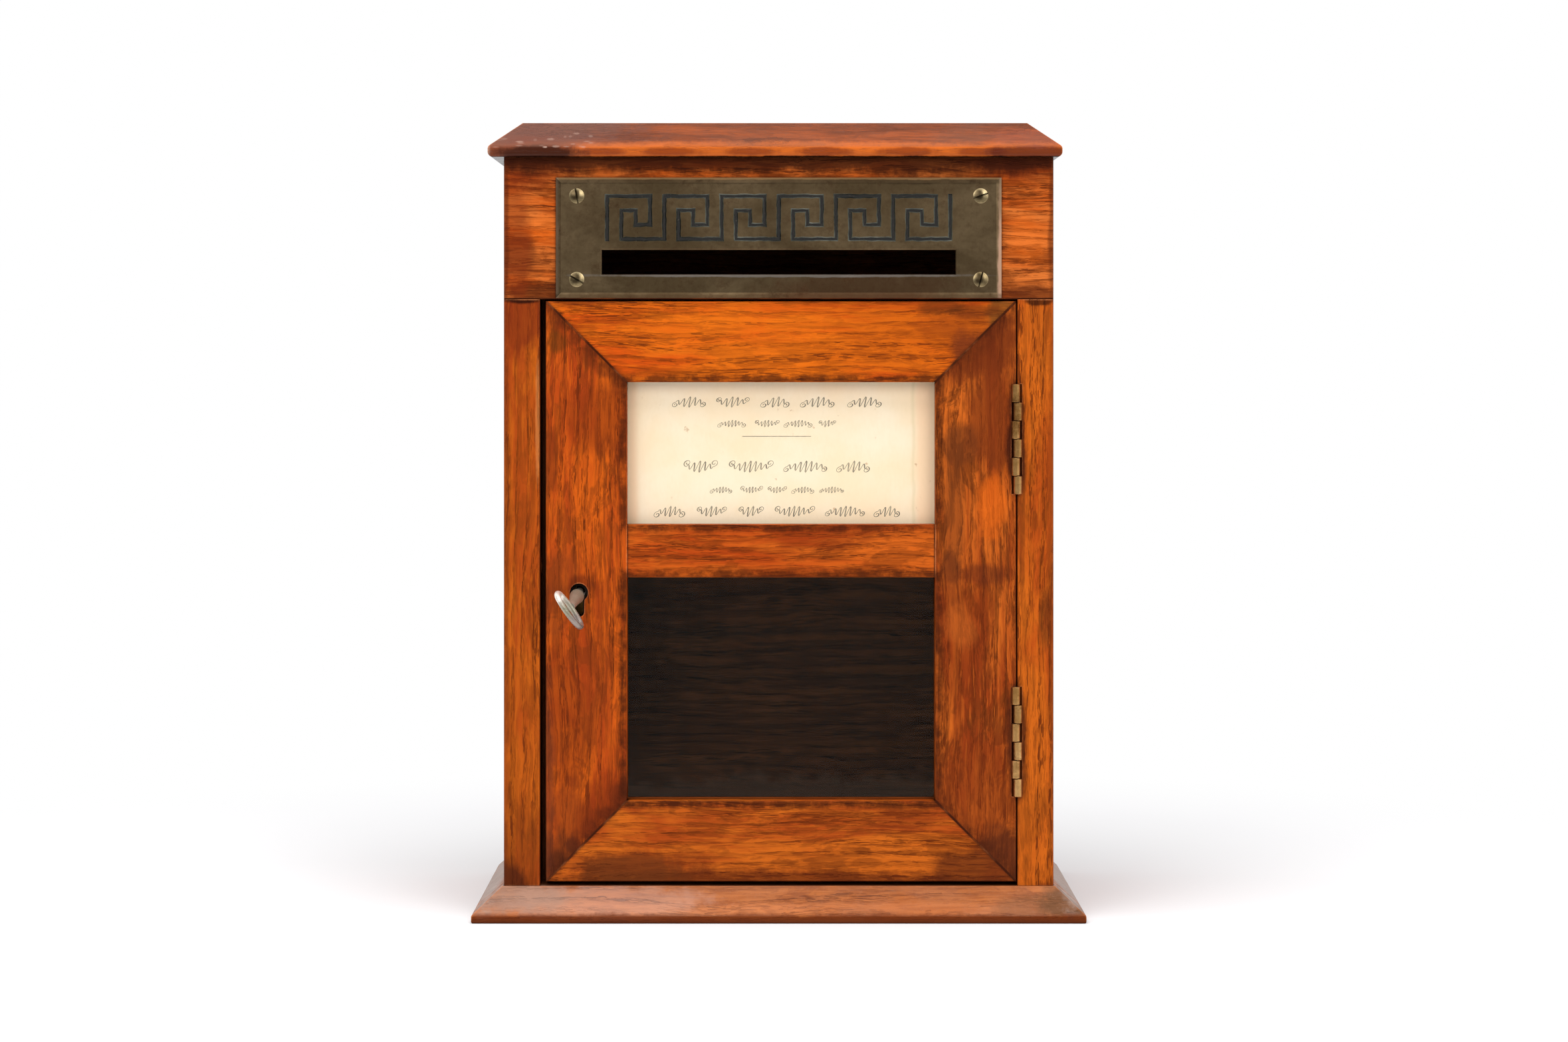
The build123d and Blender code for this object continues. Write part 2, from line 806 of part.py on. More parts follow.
# The bit reaches the talon when it points up, with the bolt part of the way out
bit_x = key_x + bit_place * tan(radians(key_yaw))
talon_x = bit_x + bolt_throw * (180 - key_turned) / key_turn_range
with BuildPart() as lock_bolt:
    panel(
        (door_left, bolt_foot),
        (door_left + bolt_length, bolt_foot + bolt_height),
        bolt_y - bolt_thickness / 2,
        bolt_y + bolt_thickness / 2,
    )
    panel(
        (talon_x - talon_width / 2, bolt_foot),
        (talon_x + talon_width / 2, bolt_foot + talon_depth),
        bolt_y - bolt_thickness / 2,
        bolt_y + bolt_thickness / 2,
        Mode.SUBTRACT,
    )
write(lock_bolt, "lock_bolt")

# A flat spring bowed up from the bolt to the top of the case
spring_start = door_left + bolt_length - spring_length - spring_thickness
bolt_top = bolt_foot + bolt_height
with BuildPart() as bolt_spring:
    with BuildSketch(facing(bolt_y - spring_width / 2)):
        with BuildLine():
            ThreePointArc(
                (spring_start, bolt_top),
                (spring_start + spring_length / 2, bolt_top + spring_rise),
                (spring_start + spring_length, bolt_top),
            )
            ThreePointArc(
                (spring_start + spring_length, bolt_top),
                (spring_start + spring_length / 2, bolt_top + spring_rise - spring_thickness),
                (spring_start, bolt_top),
            )
        make_face()
    extrude(amount=-spring_width)
write(bolt_spring, "bolt_spring")

# ---- Key ----
key_pivot = (key_x, lock_front + lock_wall / 2, key_height)
key_out = Vector(-tan(radians(key_yaw)), -1, -tan(radians(key_droop))).normalized()
key_level = Vector(0, 0, 1).cross(key_out).normalized()
key_across = key_level.rotate(Axis((0, 0, 0), key_out), key_turned)
key_plane = Plane(origin=key_pivot, x_dir=key_across, z_dir=key_out)
stem_plane = Plane(origin=key_pivot, x_dir=key_plane.x_dir, z_dir=-key_plane.y_dir)
bow_plane = Plane(origin=key_pivot, x_dir=key_plane.y_dir, z_dir=key_plane.x_dir)
neck_end = bow_place - bow_half_length

# The bow is an oval of four arcs: two ends, and two flanks that meet them at its shoulders
end_place = bow_half_width - bow_end_radius
flank_rise = bow_half_length - bow_end_radius
flank_radius = (end_place**2 + bow_half_length**2 - bow_end_radius**2) / (2 * flank_rise)
shoulder_share = 1 / (flank_radius - bow_end_radius)
shoulder_x = end_place * flank_radius * shoulder_share
shoulder_z = (flank_radius - bow_half_length) * bow_end_radius * shoulder_share
bow_shoulders = [
    (x, bow_place + z)
    for x, z in (
        (shoulder_x, shoulder_z),
        (shoulder_x, -shoulder_z),
        (-shoulder_x, -shoulder_z),
        (-shoulder_x, shoulder_z),
    )
]
bow_middles = [
    (bow_half_width, bow_place),
    (0, bow_place - bow_half_length),
    (-bow_half_width, bow_place),
    (0, bow_place + bow_half_length),
]

with BuildPart() as key:
    with BuildSketch(stem_plane):
        with BuildLine():
            Polyline(
                (0, neck_end),
                (0, -stem_inside),
                (stem_radius, -stem_inside),
                (stem_radius, collar_start),
                (collar_radius, collar_start + collar_slope),
                (collar_radius, collar_start + collar_length),
            )
            collar_end = (collar_radius, collar_start + collar_length)
            waist = (waist_radius, (collar_end[1] + neck_end) / 2)
            ThreePointArc(collar_end, waist, (neck_radius, neck_end))
            Line((neck_radius, neck_end), (0, neck_end))
        make_face()
    revolve(axis=Axis(key_pivot, key_plane.z_dir))
    with BuildSketch(bow_plane):
        span((-bit_reach, -bit_place - bit_width / 2), (0, bit_width / 2 - bit_place))
    extrude(amount=bit_thickness / 2, both=True)
    with BuildLine(bow_plane) as bow_path:
        for place, middle in enumerate(bow_middles):
            ThreePointArc(bow_shoulders[place], middle, bow_shoulders[(place + 1) % 4])
    with BuildSketch(Plane(origin=bow_path.line @ 0, z_dir=bow_path.line % 0)):
        Circle(bow_wire)
    sweep(path=bow_path.line)
write(key, "key")
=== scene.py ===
import math
import random

import bmesh
import bpy
from mathutils import Matrix, Vector


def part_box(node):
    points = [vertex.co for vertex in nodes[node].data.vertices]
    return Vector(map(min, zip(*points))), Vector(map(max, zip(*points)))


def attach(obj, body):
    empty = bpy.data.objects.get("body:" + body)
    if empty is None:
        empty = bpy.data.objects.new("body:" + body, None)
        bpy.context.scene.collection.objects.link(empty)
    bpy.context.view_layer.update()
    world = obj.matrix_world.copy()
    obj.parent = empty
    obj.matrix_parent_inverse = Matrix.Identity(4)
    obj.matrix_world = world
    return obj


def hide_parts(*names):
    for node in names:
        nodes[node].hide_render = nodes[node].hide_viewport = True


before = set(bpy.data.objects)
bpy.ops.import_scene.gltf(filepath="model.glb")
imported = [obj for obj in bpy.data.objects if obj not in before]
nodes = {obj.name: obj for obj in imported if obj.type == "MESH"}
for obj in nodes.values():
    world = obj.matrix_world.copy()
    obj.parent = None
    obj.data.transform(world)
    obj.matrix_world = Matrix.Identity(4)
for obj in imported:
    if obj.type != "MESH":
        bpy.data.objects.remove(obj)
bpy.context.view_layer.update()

# The looks of an oak letter box: varnished boards, aged brass, worn steel, glass and a card.
# Metres, in the frame of the box: +Z up, the door to -Y.
MM = 0.001

# ---- Places taken from the frame ----
fascia_low, fascia_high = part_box("fascia_board")
plate_low, plate_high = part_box("letter_plate")
card_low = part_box("notice_card")[0]
middle_rail_low, middle_rail_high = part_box("door_middle_rail")
top_rail_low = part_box("door_top_rail")[0]
bottom_rail_low, bottom_rail_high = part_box("door_bottom_rail")
lock_stile_low, lock_stile_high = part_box("door_lock_stile")
hinge_stile_low, hinge_stile_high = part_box("door_hinge_stile")
back_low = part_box("back_panel")[0]
lock_plate_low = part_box("lock_plate")[0]
roof_low, roof_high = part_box("top_board")
base_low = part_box("base_board")[0]
front_y = fascia_low.y
light_left, light_right = lock_stile_high.x, hinge_stile_low.x
upper_light_middle = (middle_rail_high.z + top_rail_low.z) / 2

# ---- The photograph's view ----
PHOTO_WIDTH, PHOTO_HEIGHT = 2359, 1568
MM_PER_PIXEL = 0.3071  # at the front of the carcass
CARCASS_MIDDLE_PIXEL = 1171.5
ROW_PIXEL, ROW_HEIGHT = 511, 267.8 * MM  # a row of the photograph and its height above the table
EYE_PIXEL = (1156, 545)  # where lines that run into the picture meet
EYE_DISTANCE = 1.65  # from the front of the carcass
SENSOR = 36.0


# ---- Nodes ----
def tint(code):
    """A display colour, written as six hex digits, in the linear values that nodes take."""
    channels = [int(code[place : place + 2], 16) / 255 for place in (0, 2, 4)]
    return [c / 12.92 if c < 0.04 else ((c + 0.055) / 1.055) ** 2.4 for c in channels] + [1.0]


def plain(value):
    """A socket's own value: a tint's code becomes its linear colour."""
    return tint(value) if isinstance(value, str) else value


def node(tree, kind, inputs=None, **settings):
    """A new node. An input is a constant, a tint's code, or the output socket that feeds it."""
    made = tree.nodes.new(kind)
    for name, value in settings.items():
        setattr(made, name, value)
    for name, value in (inputs or {}).items():
        if isinstance(value, bpy.types.NodeSocket):
            tree.links.new(value, made.inputs[name])
        else:
            made.inputs[name].default_value = plain(value)
    return made


def maths(tree, operation, first, second=0.0):
    return node(tree, "ShaderNodeMath", {0: first, 1: second}, operation=operation).outputs[0]


def times(tree, first, second):
    return maths(tree, "MULTIPLY", first, second)


def vectors(tree, operation, first, second=(0.0, 0.0, 0.0)):
    """Vector maths: its two outputs, a vector and a value."""
    inputs = {0: first, 1: second}
    return node(tree, "ShaderNodeVectorMath", inputs, operation=operation).outputs


def xyz(tree, vector):
    """The three parts of a vector."""
    return node(tree, "ShaderNodeSeparateXYZ", {0: vector}).outputs


def mixed(tree, share, first, second, blend="MIX"):
    """Two colours mixed by a share from 0 to 1."""
    inputs = {0: share, 6: first, 7: second}
    return node(tree, "ShaderNodeMix", inputs, data_type="RGBA", blend_type=blend).outputs[2]


def between(tree, value, low, high, first=0.0, last=1.0):
    """A value eased from first at low to last at high."""
    inputs = {0: value, 1: low, 2: high, 3: first, 4: last}
    return node(tree, "ShaderNodeMapRange", inputs, interpolation_type="SMOOTHSTEP").outputs[0]


def stretched(tree, vector, scale):
    """Coordinates multiplied along each axis: cells per metre."""
    return vectors(tree, "MULTIPLY", vector, scale)[0]


def noise(tree, vector, scale, detail=2.0, roughness=0.5, distortion=0.0):
    inputs = {"Vector": stretched(tree, vector, scale), "Scale": 1.0}
    inputs |= {"Detail": detail, "Roughness": roughness, "Distortion": distortion}
    return node(tree, "ShaderNodeTexNoise", inputs).outputs[0]


SOCKETS = {float: "NodeSocketFloat", str: "NodeSocketColor", tuple: "NodeSocketVector"}


def effect(name, inputs, outputs=("Share",)):
    """A node group: its tree, what it is given (a Vector and the inputs) and what it puts out."""
    group = bpy.data.node_groups.new(name, "ShaderNodeTree")
    for label, value in {"Vector": (0.0, 0.0, 0.0), **inputs}.items():
        kind = SOCKETS[type(value)]
        socket = group.interface.new_socket(label, in_out="INPUT", socket_type=kind)
        socket.default_value = plain(value)
    for label in outputs:
        kind = SOCKETS[str if label == "Color" else float]
        group.interface.new_socket(label, in_out="OUTPUT", socket_type=kind)
    given = group.nodes.new("NodeGroupInput").outputs
    return group, given, group.nodes.new("NodeGroupOutput").inputs


def placed(tree, group, inputs):
    """A group set into a tree, with its own values."""
    return node(tree, "ShaderNodeGroup", inputs, node_tree=group).outputs


# ---- Effects that several materials share ----
SURFACE = ("Color", "Roughness", "Height")  # what a group for a whole surface puts out


def make_oak_grain():
    """Solid oak with its grain along X: growth rings, streaks, patches of stain and open pores."""
    inputs = {"Light": "E8701C", "Middle": "CE5C12", "Dark": "8A3808"}
    inputs |= {"Pore": "5A2206", "Rings": 0.5, "Streaks": 0.5, "Patches": 0.4, "Pores": 0.8}
    tree, given, put = effect("oak grain", inputs, SURFACE)
    vector = given["Vector"]
    bend_inputs = {"Vector": stretched(tree, vector, (9, 30, 30)), "Scale": 1.0, "Detail": 3.0}
    bend = node(tree, "ShaderNodeTexNoise", bend_inputs).outputs[1]
    bend = vectors(tree, "SUBTRACT", bend, (0.5, 0.5, 0.5))[0]
    bend = stretched(tree, bend, (0.0, 0.011, 0.011))
    grown = vectors(tree, "ADD", vector, bend)[0]

    ring_inputs = {"Vector": stretched(tree, grown, (0.35, 1.0, 1.0)), "Scale": 70.0}
    ring_inputs |= {"Distortion": 2.6, "Detail": 4.0, "Detail Scale": 1.6, "Detail Roughness": 0.6}
    ring_kind = {"wave_type": "RINGS", "rings_direction": "X", "wave_profile": "SAW"}
    rings = node(tree, "ShaderNodeTexWave", ring_inputs, **ring_kind).outputs["Fac"]
    figure = noise(tree, grown, (11, 62, 62), 4.0, 0.6, 0.5)
    streaks = noise(tree, grown, (30, 560, 560), 4.0, 0.66)
    patches = noise(tree, grown, (30, 88, 88), 5.0, 0.66, 0.7)
    bands = noise(tree, grown, (13, 190, 190))
    pores = noise(tree, grown, (88, 1350, 1350), 1.0, 0.5)
    fine_pores = noise(tree, grown, (170, 2700, 2700), 1.0, 0.5)
    flecks = noise(tree, grown, (52, 900, 900), 2.0, 0.6)

    colour = mixed(tree, between(tree, figure, 0.38, 0.60), given["Light"], given["Middle"])
    ring_share = times(tree, maths(tree, "POWER", rings, 3.0), given["Rings"])
    colour = mixed(tree, ring_share, colour, given["Dark"])
    streak_share = times(tree, between(tree, streaks, 0.46, 0.66), given["Streaks"])
    colour = mixed(tree, streak_share, colour, given["Dark"])
    patch_share = times(tree, between(tree, patches, 0.51, 0.575), given["Patches"])
    colour = mixed(tree, patch_share, colour, given["Dark"])
    smudges = noise(tree, grown, (80, 270, 270), 3.0, 0.6, 0.4)
    smudge_share = times(tree, between(tree, smudges, 0.54, 0.64), given["Patches"])
    colour = mixed(tree, times(tree, smudge_share, 0.8), colour, given["Dark"])
    fleck_share = between(tree, flecks, 0.56, 0.66, 0.0, 0.5)
    colour = mixed(tree, fleck_share, colour, given["Light"])
    crowd = maths(tree, "ADD", times(tree, rings, 0.35), bands)
    crowded = between(tree, crowd, 0.52, 0.92, 0.06, 1.0)
    pores = between(tree, pores, 0.59, 0.625)
    fine_pores = between(tree, fine_pores, 0.58, 0.625, 0.0, 0.8)
    open_pores = times(tree, maths(tree, "MAXIMUM", pores, fine_pores), crowded)
    colour = mixed(tree, times(tree, open_pores, given["Pores"]), colour, given["Pore"])

    tree.links.new(colour, put["Color"])
    rough = times(tree, patches, 0.16)
    rough = maths(tree, "ADD", times(tree, open_pores, 0.2), rough)
    tree.links.new(rough, put["Roughness"])
    relief = maths(tree, "SUBTRACT", times(tree, streaks, 0.3), open_pores)
    tree.links.new(relief, put["Height"])
    return tree


def make_dust_and_sheen():
    """A thin film of grey dust and dulled wax on what faces up, in bands and specks, which also serves as a
    painted sheen of the light from above.
    """
    tree, given, put = effect("dust_and_sheen", {"Amount": 0.5})
    upward = xyz(tree, node(tree, "ShaderNodeNewGeometry").outputs["Normal"])[2]
    specks = noise(tree, given["Vector"], (700, 700, 700), 4.0, 0.7)
    clouds = noise(tree, given["Vector"], (16, 40, 40), 4.0, 0.6, 0.4)
    clouds = between(tree, clouds, 0.36, 0.62, 0.25, 0.8)
    share = maths(tree, "ADD", clouds, between(tree, specks, 0.5, 0.75, 0.0, 0.5))
    share = times(tree, share, between(tree, upward, 0.25, 0.60))
    tree.links.new(times(tree, share, given["Amount"]), put["Share"])
    return tree


def make_wear_and_painted_light():
    """Where a surface is rubbed, with a painted highlight there as well, at its outer edges, and where dirt
    lies, with painted shade there as well, in its inner corners.
    """
    sizes = {"Edge": 1.2 * MM, "Corner": 6 * MM}
    tree, given, put = effect("wear, dirt and painted light", sizes, ("Rubbed and Highlit", "Dirty and Shaded"))
    rounded = node(tree, "ShaderNodeBevel", {"Radius": given["Edge"]}, samples=6).outputs[0]
    true = node(tree, "ShaderNodeNewGeometry").outputs["Normal"]
    facing = vectors(tree, "DOT_PRODUCT", rounded, true)["Value"]
    edge = between(tree, facing, 0.995, 0.90)
    reach = {"Distance": given["Corner"]}
    open_sky = node(tree, "ShaderNodeAmbientOcclusion", reach, samples=6).outputs["AO"]
    uneven = noise(tree, given["Vector"], (160, 160, 160), 4.0, 0.65)
    outer = times(tree, edge, between(tree, open_sky, 0.55, 0.9))
    # painted highlight: outer edges found by the Bevel node are lightened as if they caught the light, as
    # well as worn
    rubbed_and_highlit = times(tree, outer, between(tree, uneven, 0.36, 0.60, 0.15, 1.0))
    patchiness = between(tree, times(tree, uneven, 0.35), 0.0, 1.0)
    # painted shade: darker in inner corners, where ambient occlusion finds other surfaces close by, as well
    # as dirt
    corner = between(tree, open_sky, 0.95, 0.45)
    tree.links.new(rubbed_and_highlit, put["Rubbed and Highlit"])
    tree.links.new(times(tree, corner, maths(tree, "ADD", patchiness, 0.55)), put["Dirty and Shaded"])
    return tree


def make_blotch():
    """A soft stain round one place, with an uneven edge."""
    inputs = {"Middle": (0.0, 0.0, 0.0), "Size": (1.0, 1.0, 1.0), "Strength": 1.0}
    tree, given, put = effect("blotch", inputs)
    away = vectors(tree, "SUBTRACT", given["Vector"], given["Middle"])[0]
    scaled = vectors(tree, "DIVIDE", away, given["Size"])[0]
    reach = vectors(tree, "LENGTH", scaled)["Value"]
    uneven = noise(tree, given["Vector"], (90, 90, 60), 5.0, 0.65)
    reach = maths(tree, "ADD", reach, times(tree, uneven, 1.3))
    share = between(tree, reach, 1.80, 1.20)
    tree.links.new(times(tree, share, given["Strength"]), put["Share"])
    return tree


def make_joint_line():
    """A dark line where two boards meet, in the plane through a point square to a direction."""
    inputs = {"Point": (0.0, 0.0, 0.0), "Across": (1.0, 0.0, 0.0), "Shade": 8 * MM}
    tree, given, put = effect("joint line", inputs)
    away = vectors(tree, "SUBTRACT", given["Vector"], given["Point"])[0]
    reach = vectors(tree, "DOT_PRODUCT", away, given["Across"])["Value"]
    reach = maths(tree, "ABSOLUTE", reach)
    uneven = noise(tree, given["Vector"], (210, 210, 210), 4.0, 0.65)
    broken = noise(tree, given["Vector"], (70, 70, 70))
    line = between(tree, reach, 0.95 * MM, 0.30 * MM)
    line = times(tree, line, between(tree, broken, 0.34, 0.56, 0.7, 1.0))
    shade = between(tree, reach, given["Shade"], 0.0, 0.0, 0.62)
    shade = times(tree, shade, between(tree, uneven, 0.36, 0.62, 0.25, 1.0))
    tree.links.new(maths(tree, "MAXIMUM", line, shade), put["Share"])
    return tree


def make_sight_edge():
    """Old polish gathered in a narrow dark band round an opening (X and Z of its corners)."""
    inputs = {"Low": (0.0, 0.0, 0.0), "High": (0.0, 0.0, 0.0), "Width": 2 * MM}
    tree, given, put = effect("sight edge", inputs)
    below = vectors(tree, "SUBTRACT", given["Low"], given["Vector"])[0]
    above = vectors(tree, "SUBTRACT", given["Vector"], given["High"])[0]
    apart = xyz(tree, vectors(tree, "MAXIMUM", below, above)[0])
    reach = maths(tree, "MAXIMUM", apart[0], apart[2])
    uneven = noise(tree, given["Vector"], (170, 170, 170), 4.0, 0.65)
    reach = maths(tree, "SUBTRACT", reach, times(tree, uneven, given["Width"]))
    share = between(tree, reach, given["Width"], 0.0)
    share = times(tree, share, between(tree, uneven, 0.30, 0.60, 0.35, 1.0))
    forward = xyz(tree, node(tree, "ShaderNodeNewGeometry").outputs["Normal"])[1]
    forward = between(tree, maths(tree, "ABSOLUTE", forward), 0.5, 0.9)
    tree.links.new(times(tree, share, forward), put["Share"])
    return tree


def make_patina():
    """Old metal: bright where it is handled, brown and dull elsewhere, with fine scratches."""
    inputs = {"Bright": "B49A62", "Dull": "6B5634", "Brown": "4A3220"}
    tree, given, put = effect("patina", {**inputs, "Spread": 0.5, "Scratches": 0.3}, SURFACE)
    vector = given["Vector"]
    clouds = noise(tree, vector, (22, 22, 34), 4.0, 0.62, 0.5)
    grains = noise(tree, vector, (330, 330, 330), 4.0, 0.7)
    spots = noise(tree, vector, (120, 120, 120), 5.0, 0.7)
    colour = mixed(tree, between(tree, clouds, 0.32, 0.62), given["Bright"], given["Dull"])
    brown = times(tree, between(tree, spots, 0.52, 0.72), given["Spread"])
    colour = mixed(tree, brown, colour, given["Brown"])
    colour = mixed(tree, between(tree, grains, 0.40, 0.75, 0.0, 0.35), colour, given["Brown"])
    upright = between(tree, noise(tree, vector, (2600, 900, 60), 1.0), 0.66, 0.72)
    level = between(tree, noise(tree, vector, (50, 900, 2400), 1.0), 0.68, 0.74)
    scratch = times(tree, maths(tree, "MAXIMUM", upright, level), given["Scratches"])
    colour = mixed(tree, scratch, colour, given["Bright"])
    tree.links.new(colour, put["Color"])
    dull = times(tree, clouds, 0.22)
    dull = maths(tree, "ADD", dull, times(tree, brown, 0.25))
    tree.links.new(dull, put["Roughness"])
    relief = maths(tree, "SUBTRACT", times(tree, grains, 0.6), scratch)
    tree.links.new(relief, put["Height"])
    return tree


oak_grain = make_oak_grain()
dust_and_sheen = make_dust_and_sheen()
wear_and_painted_light = make_wear_and_painted_light()
blotch = make_blotch()
joint_line = make_joint_line()
sight_edge = make_sight_edge()
patina = make_patina()


# ---- Materials ----
def blank_material(name):
    """A material with a Principled shader: the material, its tree, the shader and the place."""
    material = bpy.data.materials.new(name)
    material.use_nodes = True
    tree = material.node_tree
    place = node(tree, "ShaderNodeTexCoord").outputs["Object"]
    return material, tree, tree.nodes["Principled BSDF"], place


def finish_with(tree, shader, colour, roughness, height, depth):
    """Feed a shader its colour, roughness and relief, with the relief's depth in metres."""
    tree.links.new(colour, shader.inputs["Base Color"])
    tree.links.new(roughness, shader.inputs["Roughness"])
    bump = node(tree, "ShaderNodeBump", {"Height": height, "Distance": depth, "Strength": 1.0})
    tree.links.new(bump.outputs[0], shader.inputs["Normal"])


def stained(tree, place, colour, stains):
    """A colour with stains over it: each has a middle and a size in mm, a strength and a tint."""
    for middle, size, strength, stain_tint in stains:
        inputs = {"Vector": place, "Middle": Vector(middle) * MM, "Size": Vector(size) * MM}
        share = placed(tree, blotch, {**inputs, "Strength": strength})["Share"]
        colour = mixed(tree, share, colour, stain_tint)
    return colour


QUARTER = math.pi / 2
GRAIN_TURN = {"x": (0.0, 0.0, 0.0), "y": (0.0, 0.0, -QUARTER), "z": (0.0, QUARTER, 0.0)}
OAK_RINGS = 0.45  # how strongly the growth rings show
OAK_DIRT_AND_SHADE = "2A1004"  # dirt and painted shade in the inner corners
OLD_POLISH = "3A1606"  # what fills joints and gathers round the lights
SIGHT_WIDTH = 3.4 * MM


def oak(
    name, grain, heart, light, middle, dark="8A3808", pore="5A2206", streaks=0.5, patches=0.35,
    pores=0.85, rubbed_and_highlit="D98450", dust_and_sheen_amount=0.0, dust_and_sheen_tint=None, roughness=0.34, gloss=0.05,
    stains=(), mitres=(), sights=(), inside=None,
):
    """Varnished oak for one board. Its grain runs along an axis, round a heart (X, Y, Z in mm)."""
    material, tree, shader, place = blank_material(name)
    centred = vectors(tree, "SUBTRACT", place, Vector(heart) * MM)[0]
    turned = {"Vector": centred, "Rotation": GRAIN_TURN[grain]}
    board = node(tree, "ShaderNodeMapping", turned).outputs[0]
    inputs = {"Vector": board, "Light": light, "Middle": middle, "Dark": dark, "Pore": pore}
    inputs |= {"Rings": OAK_RINGS, "Streaks": streaks, "Patches": patches, "Pores": pores}
    grown = placed(tree, oak_grain, inputs)
    colour = stained(tree, place, grown["Color"], stains)
    if inside:
        axis, limit, inner_tint = inside
        unfinished = between(tree, xyz(tree, place)["XYZ".index(axis)], limit[0], limit[1])
        bare = mixed(tree, 0.85, colour, inner_tint, "MULTIPLY")
        colour = mixed(tree, unfinished, colour, bare)
    # dust, and a painted sheen of the light from above, on what faces up
    if dust_and_sheen_amount:
        settled_and_sheen = placed(tree, dust_and_sheen, {"Vector": board, "Amount": dust_and_sheen_amount})
        colour = mixed(tree, settled_and_sheen["Share"], colour, dust_and_sheen_tint)
    worn_and_shaded = placed(tree, wear_and_painted_light, {"Vector": place, "Edge": 1.1 * MM, "Corner": 5 * MM})
    # outer edges: rubbed wear and a painted highlight
    colour = mixed(tree, times(tree, worn_and_shaded["Rubbed and Highlit"], 0.6), colour, rubbed_and_highlit)
    # inner corners: dirt and painted shade
    colour = mixed(tree, times(tree, worn_and_shaded["Dirty and Shaded"], 0.85), colour, OAK_DIRT_AND_SHADE)
    for point, across, shade in mitres:
        inputs = {"Vector": place, "Point": point, "Across": across, "Shade": shade}
        colour = mixed(tree, placed(tree, joint_line, inputs)["Share"], colour, OLD_POLISH)
    for low, high in sights:
        inputs = {"Vector": place, "Low": low, "High": high, "Width": SIGHT_WIDTH}
        band = placed(tree, sight_edge, inputs)["Share"]
        colour = mixed(tree, times(tree, band, 0.78), colour, OLD_POLISH)
    rough = maths(tree, "ADD", grown["Roughness"], roughness)
    finish_with(tree, shader, colour, rough, grown["Height"], 0.20 * MM)
    shader.inputs["Specular IOR Level"].default_value = gloss
    return material


def metal(name, bright, dull, brown, spread, scratches, roughness, dirt_and_shade, shine=1.0, stains=()):
    """Old brass or steel. Shine is how metallic it still is under its tarnish."""
    material, tree, shader, place = blank_material(name)
    inputs = {"Vector": place, "Bright": bright, "Dull": dull, "Brown": brown}
    aged = placed(tree, patina, {**inputs, "Spread": spread, "Scratches": scratches})
    worn_and_shaded = placed(tree, wear_and_painted_light, {"Vector": place, "Edge": 0.6 * MM, "Corner": 2.2 * MM})
    # outer edges: rubbed wear and a painted highlight
    colour = mixed(tree, times(tree, worn_and_shaded["Rubbed and Highlit"], 0.7), aged["Color"], bright)
    colour = stained(tree, place, colour, stains)
    # inner corners: dirt and painted shade
    colour = mixed(tree, times(tree, worn_and_shaded["Dirty and Shaded"], 0.9), colour, dirt_and_shade)
    rough = maths(tree, "ADD", aged["Roughness"], roughness)
    finish_with(tree, shader, colour, rough, aged["Height"], 0.06 * MM)
    shader.inputs["Metallic"].default_value = shine
    return material


def shared(tree, share, first, second):
    """A surface of two shaders: the second has a share from 0 to 1."""
    inputs = {0: share, 1: first.outputs[0], 2: second.outputs[0]}
    blend = node(tree, "ShaderNodeMixShader", inputs).outputs[0]
    tree.links.new(blend, tree.nodes["Material Output"].inputs["Surface"])


def clear_glass():
    """Old window glass: clear, faintly green, with light passing it to what lies behind."""
    material, tree, shader, place = blank_material("old_glass")
    smears = noise(tree, place, (38, 38, 60), 4.0, 0.6)
    tree.links.new(between(tree, smears, 0.45, 0.8, 0.0, 0.012), shader.inputs["Roughness"])
    shader.inputs["Base Color"].default_value = tint("FBFBF8")
    shader.inputs["Transmission Weight"].default_value = 1.0
    shader.inputs["IOR"].default_value = 1.2
    ripple = noise(tree, place, (14, 14, 9))
    bump = node(tree, "ShaderNodeBump", {"Height": ripple, "Distance": 0.6 * MM, "Strength": 0.5})
    tree.links.new(bump.outputs[0], shader.inputs["Normal"])
    rays = node(tree, "ShaderNodeLightPath").outputs
    passing = maths(tree, "MAXIMUM", rays["Is Shadow Ray"], rays["Is Diffuse Ray"])
    clear = node(tree, "ShaderNodeBsdfTransparent", {"Color": "F8F8F4"})
    shared(tree, passing, shader, clear)
    return material


